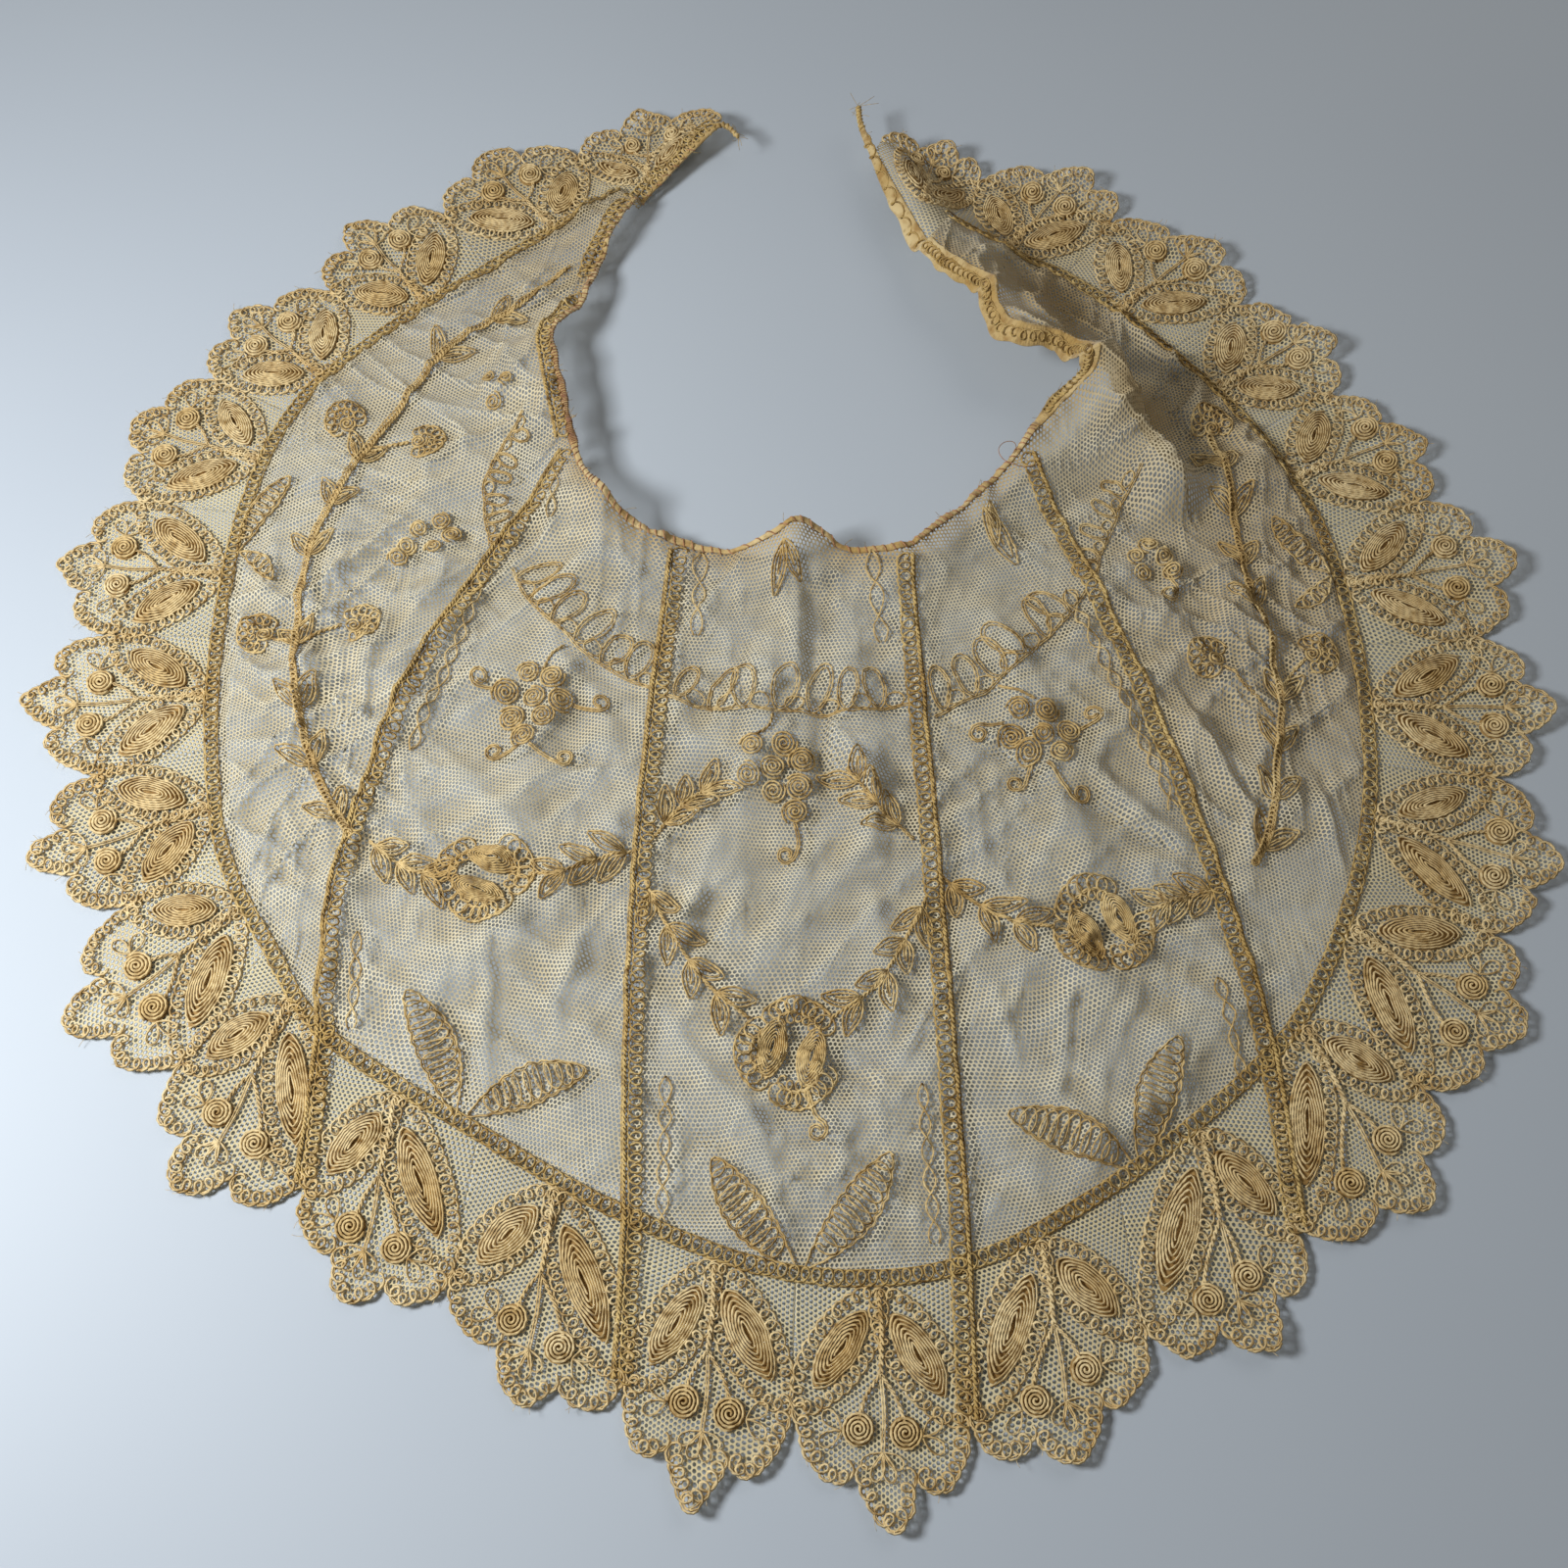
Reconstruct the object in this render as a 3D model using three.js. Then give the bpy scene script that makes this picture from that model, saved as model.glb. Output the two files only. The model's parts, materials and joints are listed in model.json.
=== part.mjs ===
// Lace cape collar, laid flat: a fitted net collar of five gores joined by radial seams, an
// embroidered scalloped border, looped cord over every join and a bound neck with two tail ends.
// Millimetres, +Z up. The collar lies on z = 0, its neck opening towards +Y at the two front ends.
//
// Two numbers place every point of the cloth. "at" counts the hem's notches round the collar, from
// 0 at the left front end to 26 at the right front end. "depth" runs from 0 at the neck edge to 1
// at the border line. The scallops carry on from there to the hem, each in a frame of its own.
import * as THREE from 'three';

// Driving dimensions, mm
const netWall = 1.2; // net with its soft body, as one rigid wall
const seamGap = 0.3; // between pieces that are sewn together
const cordGap = 1; // under a cord where it lies over the seams' humps and hollows
const appliqueRise = 0.9; // filled petals and wound rosettes stand this far over the net
const cordWidth = 3.4; // looped cord over the seams and along the border line
const cordRise = 1.3;
const bindingThick = 1.5; // folded tape at the neck
const petalHalfWidth = 4.9;
const petalStart = 0.08; // share of its length that a petal stands clear of the other's root
const rosetteRadius = 3.9;
const depthRows = 14; // wall sections from the neck to the border line
const rowCrowding = 1.3; // over 1, the sections crowd towards the neck, where the cloth lifts most
const outlineMiddle = { x: -0.1, y: -6.7 }; // of the tables' numbers: the origin lies under it
const slopeLimit = 0.5; // steepest cosine that the wall's height is still corrected for

// Notches of the hem and the border line inside them, in order round the collar
const sectionColumns = ['at', 'hemX', 'hemY', 'lineX', 'lineY', 'bowX', 'bowY'];
const sectionTable = [
  [0, -20, 200, -21, 196, 0, 0],
  [1, -67, 189, -54, 174, 0, 0],
  [2, -109, 165, -93, 145, 0, 0],
  [3, -142, 134, -129, 115, 0, 0],
  [4, -174, 101, -150, 89, 0, 0],
  [5, -190, 58, -160, 54, 0, 0],
  [6, -192, 13, -162, 13, 0, 0],
  [7, -189, -30, -159, -22, -4, 0],
  [8, -174, -68, -151, -54, -9, 0],
  [9, -154, -110, -136, -79, -14, 0],
  [10, -119, -140, -118, -103, -18, 0],
  [11, -81, -162, -77, -128, -9, 0],
  [12, -38, -186, -37, -149, -4, 0],
  [13, 2, -193, 3, -162, -2, 0],
  [14, 43, -195, 43, -160, 1, 0],
  [15, 87, -175, 83, -140, 4, 0],
  [16, 126, -151, 124, -109, 7, 0],
  [17, 162, -116, 141, -87, 5, 0],
  [18, 186, -75, 155, -57, 3, 0],
  [19, 194, -31, 162, -27, 0, 5],
  [20, 197, 12, 163, 10, 0, 13],
  [21, 186, 57, 158, 48, 0, 16],
  [22, 165, 96, 143, 82, 0, 9],
  [23, 141, 130, 119, 112, 0, 3],
  [24, 104, 162, 89, 141, 0, 0],
  [25, 64, 179, 52.6, 156.8, 0, 0],
  [26, 32, 188, 29, 181, 0, 0],
];

// The neck edge: its place, how high it stands, how far out that lift dies away, and the tape on it
const neckColumns = ['at', 'x', 'y', 'lift', 'fall', 'tape', 'tilt'];
const neckTable = [
  [-0.4, -15, 191, 10, 18, 1.8, 0],
  [0, -21, 196, 8, 20, 2.4, 0],
  [0.5, -34, 183, 5, 20, 2.6, 0],
  [1, -47, 167, 3, 20, 2.6, 0],
  [2, -57, 146, 3, 20, 2.6, 0],
  [3, -61, 130, 6, 24, 2.6, 0],
  [3.6, -65, 120, 8, 24, 2.6, 0],
  [4.2, -70, 112, 10, 26, 2.6, 0],
  [5, -69, 102, 11, 28, 2.8, 0],
  [6, -67, 93, 9, 28, 2.8, 0],
  [8, -64, 80, 8, 28, 3.0, 0],
  [10, -62, 71, 9, 30, 3.0, 0],
  [10.5, -58, 61, 10, 30, 3.0, 0],
  [11, -52, 52, 12, 30, 3.0, 0],
  [11.5, -43, 45, 7, 28, 3.0, 0],
  [12, -30, 41, 4, 24, 2.8, 0],
  [12.6, -12, 37, 5, 22, 2.8, 0],
  [12.8, -3, 39, 9, 20, 2.8, 0],
  [13, 3, 42, 12, 20, 2.8, 0],
  [13.2, 9, 41, 10, 20, 2.8, 0],
  [13.5, 19, 37, 6, 22, 2.8, 0],
  [14, 34, 37, 7, 26, 2.8, 0],
  [14.5, 43, 44, 6, 26, 2.8, 0],
  [15, 52, 52, 4, 24, 2.8, 0],
  [15.5, 61, 61, 4, 24, 2.8, 10],
  [16, 70, 71, 6, 24, 3.0, 20],
  [17, 78, 79, 9, 24, 3.4, 30],
  [18, 84, 84, 14, 26, 4.0, 50],
  [19, 90, 88, 20, 28, 4.6, 70],
  [20, 88, 97, 22, 30, 5.0, 80],
  [20.6, 81, 102, 21, 32, 5.2, 80],
  [21.3, 70, 104, 20, 34, 5.2, 80],
  [22, 64, 112, 20, 36, 5.0, 80],
  [22.8, 62, 122, 19, 36, 4.8, 75],
  [24, 52, 132, 18, 36, 4.6, 70],
  [25, 45, 142, 16, 36, 4.2, 60],
  [25.5, 37, 160, 14, 34, 3.8, 55],
  [26, 29, 181, 12, 30, 3.0, 45],
  [26.5, 25, 194, 14, 24, 2.2, 30],
  [27, 24, 202, 16, 20, 1.8, 20],
];

// Ridges where the net stands up, each from one end to the other with its height at both ends
const foldColumns = ['fromX', 'fromY', 'toX', 'toY', 'riseFrom', 'riseTo', 'halfWidth'];
const foldTable = [
  [94, 90, 113, 60, 9, 9, 14], // the pleat that folds over at the right of the neck
  [113, 60, 143, 66, 6, 4, 15], // its hollow's near lip
  [72, 103, 100, 116, 5, 2, 12],
  [3, 42, -4, 2, 4, 3, 11], // below the bump at the middle of the neck
  [-4, 2, -16, -60, 3, 2, 10],
  [18, 20, 22, -52, 2, 3, 9],
  [-62, 30, -74, -50, 2, 3, 10],
  [-100, 40, -112, -20, 3, 2, 10],
  [60, 20, 82, -60, 2, 3, 10],
  [-60, -66, -96, -96, 3, 2, 9],
  [64, -72, 96, -104, 3, 2, 9],
  [-128, 60, -138, -8, 2, 3, 10],
  [128, 30, 138, -40, 3, 2, 10],
];

// Each scallop's middle lobe: how far it reaches past its notches, how far it leans on round the
// hem and how high its tip lies
const scallopColumns = ['reach', 'lean', 'tipLift'];
const scallopTable = [
  [12, 2, 4],
  [16, 2, 2],
  [18, 3, 1.5],
  [17, 3, 0],
  [17, 0, 0],
  [21, 0, 0],
  [24, -2, 0],
  [23, -2, 0],
  [25, 1, 0],
  [23, 0, 0],
  [19, 3, 0],
  [17, 5, 0],
  [25, 0, 2],
  [25, 4, 1.5],
  [19, -4, 1.5],
  [19, 0, 1.5],
  [20, 2, 2],
  [18, 2, 2],
  [18, -1, 3],
  [19, -1, 3],
  [21, -2, 3.5],
  [15, -7, 3.5],
  [14, -8, 4],
  [14, -8, 4],
  [15, -10, 5],
  [8, -3, 6],
];

// Where a scallop's motifs sit, as shares: the petals' root along the inner edge and in from it,
// their two tips along the chord, how far out the rosettes lie, and the motifs' size
const fullMotif = { root: 0.5, rootIn: 0.1, near: 0.05, far: 0.95, rosetteOut: 0.12, size: 1 };
const leftEndMotif = { root: 0.86, rootIn: 0.3, near: 0.22, far: 0.94, rosetteOut: 0.1, size: 0.75 };
const rightEndMotif = { root: 0.2, rootIn: 0.35, near: 0.06, far: 0.8, rosetteOut: -0.1, size: 0.7 };

// Half of a scallop's three-lobed edge, from a notch to the tip: along the chord and out, as shares
const lobeColumns = ['along', 'out'];
const lobeTable = [
  [0, 0],
  [0.03, 0.24],
  [0.09, 0.45],
  [0.18, 0.59],
  [0.27, 0.58],
  [0.32, 0.5],
  [0.36, 0.7],
  [0.42, 0.9],
  [0.5, 1],
];

// The five gores: the stations that their seams lie on and how many wall sections each scallop has
const gores = [
  { name: 'outer_left', from: 1, to: 10, perScallop: 3 },
  { name: 'inner_left', from: 10, to: 12, perScallop: 4 },
  { name: 'center', from: 12, to: 14, perScallop: 6 },
  { name: 'inner_right', from: 14, to: 16, perScallop: 4 },
  { name: 'outer_right', from: 16, to: 25, perScallop: 4 },
];

const named = (columns, rows) =>
  rows.map((row) => Object.fromEntries(columns.map((column, k) => [column, row[k]])));
const sections = named(sectionColumns, sectionTable);
const neckRows = named(neckColumns, neckTable);
const folds = named(foldColumns, foldTable);
const scallops = named(scallopColumns, scallopTable);
const lobe = named(lobeColumns, lobeTable);
const lastNotch = sections.length - 1;

const netFinish = { color: '#d3c9ac', roughness: 0.9, metalness: 0 };
const cordFinish = { color: '#c6a362', roughness: 0.85, metalness: 0 };
const bindingFinish = { color: '#c9a77a', roughness: 0.85, metalness: 0 };

const plan = (x, y) => new THREE.Vector2(x, y);
const smooth = (t) => THREE.MathUtils.smoothstep(t, 0, 1);

// A smooth curve through one column of a table whose rows are spaced by "at"
function sample(rows, column, at) {
  let k = 0;
  while (k < rows.length - 2 && rows[k + 1].at <= at) k += 1;
  const [before, a, b, after] = [k - 1, k, k + 1, k + 2].map(
    (j) => rows[THREE.MathUtils.clamp(j, 0, rows.length - 1)]);
  const slope = (p, q) => (q.at === p.at ? 0 : (q[column] - p[column]) / (q.at - p.at));
  const span = b.at - a.at;
  const t = (at - a.at) / span;
  const startSlope = slope(before, b) * span;
  const endSlope = slope(a, after) * span;
  const bend = t * t * (3 - 2 * t);
  return a[column] * (1 - bend) + b[column] * bend
    + startSlope * t * (1 - t) * (1 - t) - endSlope * t * t * (1 - t);
}

const neckAt = (at) => plan(sample(neckRows, 'x', at), sample(neckRows, 'y', at));
const lineAt = (at) => plan(sample(sections, 'lineX', at), sample(sections, 'lineY', at));
const notchAt = (i) => plan(sections[i].hemX, sections[i].hemY);

const depthOfRow = (row) => (row / depthRows) ** rowCrowding;

// Seams bow sideways most at the middle of their length. By the pleat they bow upwards too, which
// keeps the net on its own side of the neck edge where that edge doubles back
function planPoint(at, depth) {
  const bow = plan(sample(sections, 'bowX', at), sample(sections, 'bowY', at));
  return neckAt(at).lerp(lineAt(at), depth).add(bow.multiplyScalar(4 * depth * (1 - depth)));
}

// A ridge's height falls as half a cosine wave to each side and off its two ends
function foldHeight(fold, point) {
  const start = plan(fold.fromX, fold.fromY);
  const run = plan(fold.toX, fold.toY).sub(start);
  const offset = point.clone().sub(start);
  const along = THREE.MathUtils.clamp(offset.dot(run) / run.lengthSq(), 0, 1);
  const away = offset.sub(run.clone().multiplyScalar(along)).length() / fold.halfWidth;
  const crest = THREE.MathUtils.lerp(fold.riseFrom, fold.riseTo, along);
  return away < 1 ? crest * 0.5 * (1 + Math.cos(Math.PI * away)) : 0;
}

// Height of the cloth's underside: the neck edge's lift dying away outwards, and the ridges, which
// die out before the border line
function clothHeight(at, point) {
  const away = point.distanceTo(neckAt(at)) / sample(neckRows, 'fall', at);
  const edgeLift = sample(neckRows, 'lift', at) * smooth(1 - Math.min(away, 1));
  const inside = at > 1 && at < lastNotch - 1 ? point.distanceTo(lineAt(at)) : 0;
  const ridges = folds.reduce((sum, fold) => sum + foldHeight(fold, point), 0);
  return edgeLift + ridges * smooth(inside / 14) * (1 - 0.35 * smooth(1 - away));
}

// The wall is thicker upwards where the cloth is steep, so that it keeps its thickness across
function wallHeight(at, depth) {
  const step = 0.02;
  const [d0, d1] = [Math.max(depth - step, 0), Math.min(depth + step, 1)];
  const corners = [[at - step, depth], [at + step, depth], [at, d0], [at, d1]].map(([a, d]) => {
    const point = planPoint(a, d);
    return new THREE.Vector3(point.x, point.y, clothHeight(a, point));
  });
  const round = corners[1].sub(corners[0]);
  const out = corners[3].sub(corners[2]);
  const normal = round.cross(out).normalize();
  return netWall / Math.max(Math.abs(normal.z), slopeLimit);
}

// Moves each corner of a closed outline inwards, square to its two edges
function inset(outline, distance) {
  const sign = THREE.ShapeUtils.isClockWise(outline) ? -1 : 1;
  return outline.map((corner, k) => {
    const before = outline[(k + outline.length - 1) % outline.length];
    const after = outline[(k + 1) % outline.length];
    const first = corner.clone().sub(before).normalize();
    const second = after.clone().sub(corner).normalize();
    const inward = plan(-first.y - second.y, first.x + second.x).multiplyScalar(sign);
    const miter = Math.max(inward.lengthSq() / 2, 0.5);
    return corner.clone().add(inward.multiplyScalar(distance / miter));
  });
}

function piece(name, corners, faces, finish) {
  const geometry = new THREE.BufferGeometry();
  geometry.setAttribute('position', new THREE.Float32BufferAttribute(corners.flat(), 3));
  geometry.setIndex(faces.flat());
  geometry.computeVertexNormals();
  const mesh = new THREE.Mesh(geometry, new THREE.MeshStandardMaterial(finish));
  mesh.name = name;
  return mesh;
}

const counterClockwise = (outline) =>
  (THREE.ShapeUtils.isClockWise(outline) ? [...outline].reverse() : outline);

// One gore of net: a grid of sections, its underside on the cloth's height and its top a wall above
function netPanel(gore) {
  const columns = (gore.to - gore.from) * gore.perScallop;
  const grid = [];
  for (let j = 0; j <= depthRows; j += 1) {
    for (let i = 0; i <= columns; i += 1) {
      const at = gore.from + i / gore.perScallop;
      const depth = depthOfRow(j);
      const point = planPoint(at, depth);
      grid.push({ point, base: clothHeight(at, point), wall: wallHeight(at, depth) });
    }
  }
  const index = (i, j) => j * (columns + 1) + i;
  const rim = [];
  for (let i = 0; i < columns; i += 1) rim.push(index(i, 0));
  for (let j = 0; j < depthRows; j += 1) rim.push(index(columns, j));
  for (let i = columns; i > 0; i -= 1) rim.push(index(i, depthRows));
  for (let j = depthRows; j > 0; j -= 1) rim.push(index(0, j));
  inset(rim.map((k) => grid[k].point), seamGap / 2).forEach((point, k) => {
    grid[rim[k]].point = point;
  });

  const size = grid.length;
  const corners = [
    ...grid.map(({ point, base }) => [point.x, point.y, base]),
    ...grid.map(({ point, base, wall }) => [point.x, point.y, base + wall]),
  ];
  const faces = [];
  for (let j = 0; j < depthRows; j += 1) {
    for (let i = 0; i < columns; i += 1) {
      const [a, b, c, d] = [index(i, j), index(i + 1, j), index(i + 1, j + 1), index(i, j + 1)];
      faces.push([a, b, c], [a, c, d]);
      faces.push([size + a, size + c, size + b], [size + a, size + d, size + c]);
    }
  }
  rim.forEach((a, k) => {
    const b = rim[(k + 1) % rim.length];
    faces.push([a, size + a, size + b], [a, size + b, b]);
  });
  return piece(`net_panel_${gore.name}`, corners, faces, netFinish);
}

// A spindle with a point at its root and one at its tip
function petal(root, tip, halfWidth) {
  const steps = 5;
  const run = tip.clone().sub(root);
  const side = plan(-run.y, run.x).normalize();
  return Array.from({ length: 2 * steps }, (_, k) => {
    const share = k <= steps ? k / steps : 2 - k / steps;
    const half = halfWidth * Math.sin(Math.PI * share) * (k <= steps ? 1 : -1);
    return root.clone().lerp(tip, share).add(side.clone().multiplyScalar(half));
  });
}

function rosette(center, radius) {
  const sides = 8;
  return Array.from({ length: sides }, (_, k) => {
    const turn = (2 * Math.PI * k) / sides;
    return plan(Math.cos(turn), Math.sin(turn)).multiplyScalar(radius).add(center);
  });
}

// One scallop of the border: net with a three-lobed edge, and raised on it two petals that splay
// from the inner edge to the notches, with two rosettes between them
function borderScallop(i) {
  const shape = scallops[i];
  const isEnd = i === 0 || i === lastNotch - 1;
  const inner = isEnd ? neckAt : lineAt;
  const gore = gores.find(({ from, to }) => i >= from && i < to);
  const steps = gore ? gore.perScallop : 3;
  const [a, b] = [notchAt(i), notchAt(i + 1)];
  const chord = b.clone().sub(a);
  const out = plan(chord.y, -chord.x).normalize();
  if (out.dot(inner(i + 0.5).sub(a)) > 0) out.negate();
  const lean = chord.clone().normalize().multiplyScalar(shape.lean);
  const local = (along, reach) => a.clone().add(chord.clone().multiplyScalar(along))
    .add(out.clone().multiplyScalar(reach * shape.reach))
    .add(lean.clone().multiplyScalar(Math.max(reach, 0)));

  const base = Array.from({ length: steps + 1 }, (_, k) => inner(i + k / steps));
  if (i === 0) base.push(lineAt(1));
  if (i === lastNotch - 1) base.unshift(lineAt(lastNotch - 1));
  const edge = [
    ...lobe.map(({ along, out: reach }) => local(1 - along, reach)),
    ...lobe.slice(0, -1).reverse().map(({ along, out: reach }) => local(along, reach)),
  ];
  const outline = inset([...base, ...edge], seamGap / 2);

  const motif = [leftEndMotif, rightEndMotif][[0, lastNotch - 1].indexOf(i)] ?? fullMotif;
  const root = inner(i + motif.root).lerp(a.clone().lerp(b, 0.5), motif.rootIn);
  const islands = [
    petal(root.clone().lerp(local(motif.near, 0), petalStart), local(motif.near, 0),
      petalHalfWidth * motif.size),
    petal(root.clone().lerp(local(motif.far, 0), petalStart), local(motif.far, 0),
      petalHalfWidth * motif.size),
    ...[0.36, 0.64].map((along) =>
      rosette(local(along, motif.rosetteOut), rosetteRadius * motif.size)),
  ];

  const height = (point) => {
    const away = point.clone().sub(a);
    const at = i + THREE.MathUtils.clamp(away.dot(chord) / chord.lengthSq(), 0, 1);
    const outShare = Math.max(away.dot(out) / shape.reach, 0);
    return clothHeight(at, point) + shape.tipLift * outShare;
  };
  return raisedSheet(`border_scallop_${String(i + 1).padStart(2, '0')}`, outline, islands, height);
}

// A wall of net over a plain underside, its top carrying raised islands. Where the cloth leaves the
// surface it lies on, the underside bends at the islands' corners too, so that the wall keeps its
// thickness.
function raisedSheet(name, outline, islands, height) {
  const rim = counterClockwise(outline);
  const holes = islands.map((island) => counterClockwise(island));
  const corners = [];
  const faces = [];
  const ring = (points, above) => {
    const first = corners.length;
    points.forEach((point) => corners.push([point.x, point.y, height(point) + above]));
    return points.map((_, k) => first + k);
  };
  const skirt = (low, high) => low.forEach((a, k) => {
    const next = (k + 1) % low.length;
    faces.push([a, low[next], high[next]], [a, high[next], high[k]]);
  });
  const cover = (points, rings, cuts = []) => {
    const order = rings.flat();
    return THREE.ShapeUtils.triangulateShape(points, cuts).map((face) => face.map((k) => order[k]));
  };
  const overRim = (rimRing, holeRings) => cover(rim,
    [rimRing, ...holeRings.map((hole) => [...hole].reverse())],
    holes.map((hole) => [...hole].reverse()));
  const downward = ([a, b, c]) => [a, c, b];

  const under = ring(rim, 0);
  const upper = ring(rim, netWall);
  skirt(under, upper);
  const feet = holes.map((hole) => ring(hole, netWall));
  faces.push(...overRim(upper, feet));
  holes.forEach((hole, k) => {
    const crown = ring(hole, netWall + appliqueRise);
    skirt(feet[k], crown);
    faces.push(...cover(hole, [crown]));
  });
  if (rim.some((point) => height(point) > 0)) {
    const soles = holes.map((hole) => ring(hole, 0));
    faces.push(...overRim(under, soles).map(downward));
    holes.forEach((hole, k) => faces.push(...cover(hole, [soles[k]]).map(downward)));
  } else {
    faces.push(...cover(rim, [under]).map(downward));
  }
  return piece(name, corners, faces, cordFinish);
}

// A low round-topped strip that lies on the cloth along a route of {at, depth} stops
function layOnCord(name, stops) {
  const half = cordWidth / 2;
  const section = [[-half, 0], [half, 0], [half * 0.75, cordRise * 0.7], [0, cordRise],
    [-half * 0.75, cordRise * 0.7]];
  const route = stops.map(({ at, depth }) => ({ at, depth, point: planPoint(at, depth) }));
  const corners = [];
  route.forEach(({ at, depth, point }, k) => {
    const before = route[Math.max(k - 1, 0)].point;
    const after = route[Math.min(k + 1, route.length - 1)].point;
    const side = plan(after.y - before.y, before.x - after.x).normalize();
    const beside = (offset) => clothHeight(at, point.clone().add(side.clone().multiplyScalar(offset)));
    const tilt = (beside(half) - beside(-half)) / cordWidth;
    const highest = Math.max(...[-half, 0, half].map((offset) => beside(offset) - tilt * offset));
    const wall = Math.max(...[-0.05, 0, 0.05].map((step) => wallHeight(at, Math.min(depth + step, 1))));
    const rest = highest + wall + cordGap;
    section.forEach(([offset, rise]) => {
      const spot = point.clone().add(side.clone().multiplyScalar(offset));
      corners.push([spot.x, spot.y, rest + tilt * offset + rise]);
    });
  });
  return piece(name, corners, tubeFaces(section.length, route.length), cordFinish);
}

// Faces of a tube whose rings run in order, each counter-clockwise when seen from behind, closed by
// a fan at both ends
function tubeFaces(sides, rings) {
  const faces = [];
  for (let r = 0; r < rings - 1; r += 1) {
    for (let s = 0; s < sides; s += 1) {
      const t = (s + 1) % sides;
      const [a, b, c, d] = [r * sides + s, r * sides + t, (r + 1) * sides + t, (r + 1) * sides + s];
      faces.push([a, c, b], [a, d, c]);
    }
  }
  const last = (rings - 1) * sides;
  for (let s = 1; s < sides - 1; s += 1) {
    faces.push([0, s, s + 1], [last, last + s + 1, last + s]);
  }
  return faces;
}

// The neck's folded tape: a thin rectangle just inside the neck edge, turned on edge at the right
function neckBinding() {
  const stops = [-0.4, -0.2];
  [{ from: 0, to: 1, perScallop: 3 }, ...gores, { from: 25, to: 26, perScallop: 3 }].forEach((run) => {
    for (let k = 0; k < (run.to - run.from) * run.perScallop; k += 1) {
      stops.push(run.from + k / run.perScallop);
    }
  });
  stops.push(lastNotch, 26.25, 26.5, 26.75, 27);
  const corners = stops.flatMap((at) => {
    const step = 0.05;
    const run = neckAt(at + step).sub(neckAt(at - step)).normalize();
    const inward = plan(-run.y, run.x);
    const [width, tilt, lift] = ['tape', 'tilt', 'lift'].map((column) => sample(neckRows, column, at));
    const turn = THREE.MathUtils.degToRad(tilt);
    const [cos, sin] = [Math.cos(turn), Math.sin(turn)];
    const out = seamGap + 0.5 * (width * cos + bindingThick * sin);
    const middle = lift + netWall - 0.5 * (bindingThick * cos + width * sin);
    return [[1, -1], [-1, -1], [-1, 1], [1, 1]].map(([w, t]) => {
      const across = out + 0.5 * (w * width * cos + t * bindingThick * sin);
      const up = middle + 0.5 * (-w * width * sin + t * bindingThick * cos);
      const spot = neckAt(at).add(inward.clone().multiplyScalar(across));
      return [spot.x, spot.y, up];
    });
  });
  return piece('neck_binding', corners, tubeFaces(4, stops.length), bindingFinish);
}

const collar = new THREE.Group();
collar.name = 'lace_cape_collar';
collar.position.set(-outlineMiddle.x, -outlineMiddle.y, 0);
gores.forEach((gore) => {
  collar.add(netPanel(gore));
  const count = (gore.to - gore.from) * gore.perScallop;
  const stops = Array.from({ length: count - 1 }, (_, k) => ({
    at: gore.from + (k + 1) / gore.perScallop, depth: 1 }));
  collar.add(layOnCord(`line_cord_${gore.name}`, stops));
});
gores.slice(1).forEach((gore, k) => {
  const stops = Array.from({ length: depthRows - 1 }, (_, row) => ({
    at: gore.from, depth: depthOfRow(row + 1) }));
  collar.add(layOnCord(`seam_cord_${k + 1}`, stops));
});
for (let i = 0; i < lastNotch; i += 1) collar.add(borderScallop(i));
collar.add(neckBinding());

export default collar;
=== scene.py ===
# Lace cape collar laid flat on a pale table: five gores of cotton net, looped cord over the seams,
# a border of 26 scallops worked in ecru thread, and a bound neck with two tail ends.
# Tables and patterns are in millimetres, in the pattern's own plan; patternPlace puts them in the part.
import json
import math

import bpy
import numpy as np
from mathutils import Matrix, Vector

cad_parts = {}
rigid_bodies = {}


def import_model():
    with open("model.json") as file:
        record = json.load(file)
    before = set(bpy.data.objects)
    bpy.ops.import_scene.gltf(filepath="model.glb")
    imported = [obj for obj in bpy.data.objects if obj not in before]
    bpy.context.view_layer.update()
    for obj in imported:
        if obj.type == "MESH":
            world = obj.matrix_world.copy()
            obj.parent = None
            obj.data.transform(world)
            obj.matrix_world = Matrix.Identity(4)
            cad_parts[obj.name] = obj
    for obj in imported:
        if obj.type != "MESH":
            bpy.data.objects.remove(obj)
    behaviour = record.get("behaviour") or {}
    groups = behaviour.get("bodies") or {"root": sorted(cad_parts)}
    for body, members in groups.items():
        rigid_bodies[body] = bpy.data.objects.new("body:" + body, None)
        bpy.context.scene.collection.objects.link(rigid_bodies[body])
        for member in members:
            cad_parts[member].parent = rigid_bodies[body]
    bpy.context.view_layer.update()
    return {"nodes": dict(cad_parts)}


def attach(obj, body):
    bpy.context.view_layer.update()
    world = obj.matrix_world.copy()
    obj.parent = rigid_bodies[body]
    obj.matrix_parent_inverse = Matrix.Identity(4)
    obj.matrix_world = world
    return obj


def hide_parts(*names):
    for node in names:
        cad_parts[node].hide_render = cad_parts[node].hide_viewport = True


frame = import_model()
print("frame loaded:", len(frame["nodes"]), "nodes")

mm = 0.001
patternPlace = np.array([0.1, 6.7, 0.0])  # the pattern's origin in the part
seeds = np.random.default_rng(1906)


def table(columns, rows):
    # a named column of numbers for each word
    numbers = np.array(rows, float)
    return {name: numbers[:, k] for k, name in enumerate(columns.split())}


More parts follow.
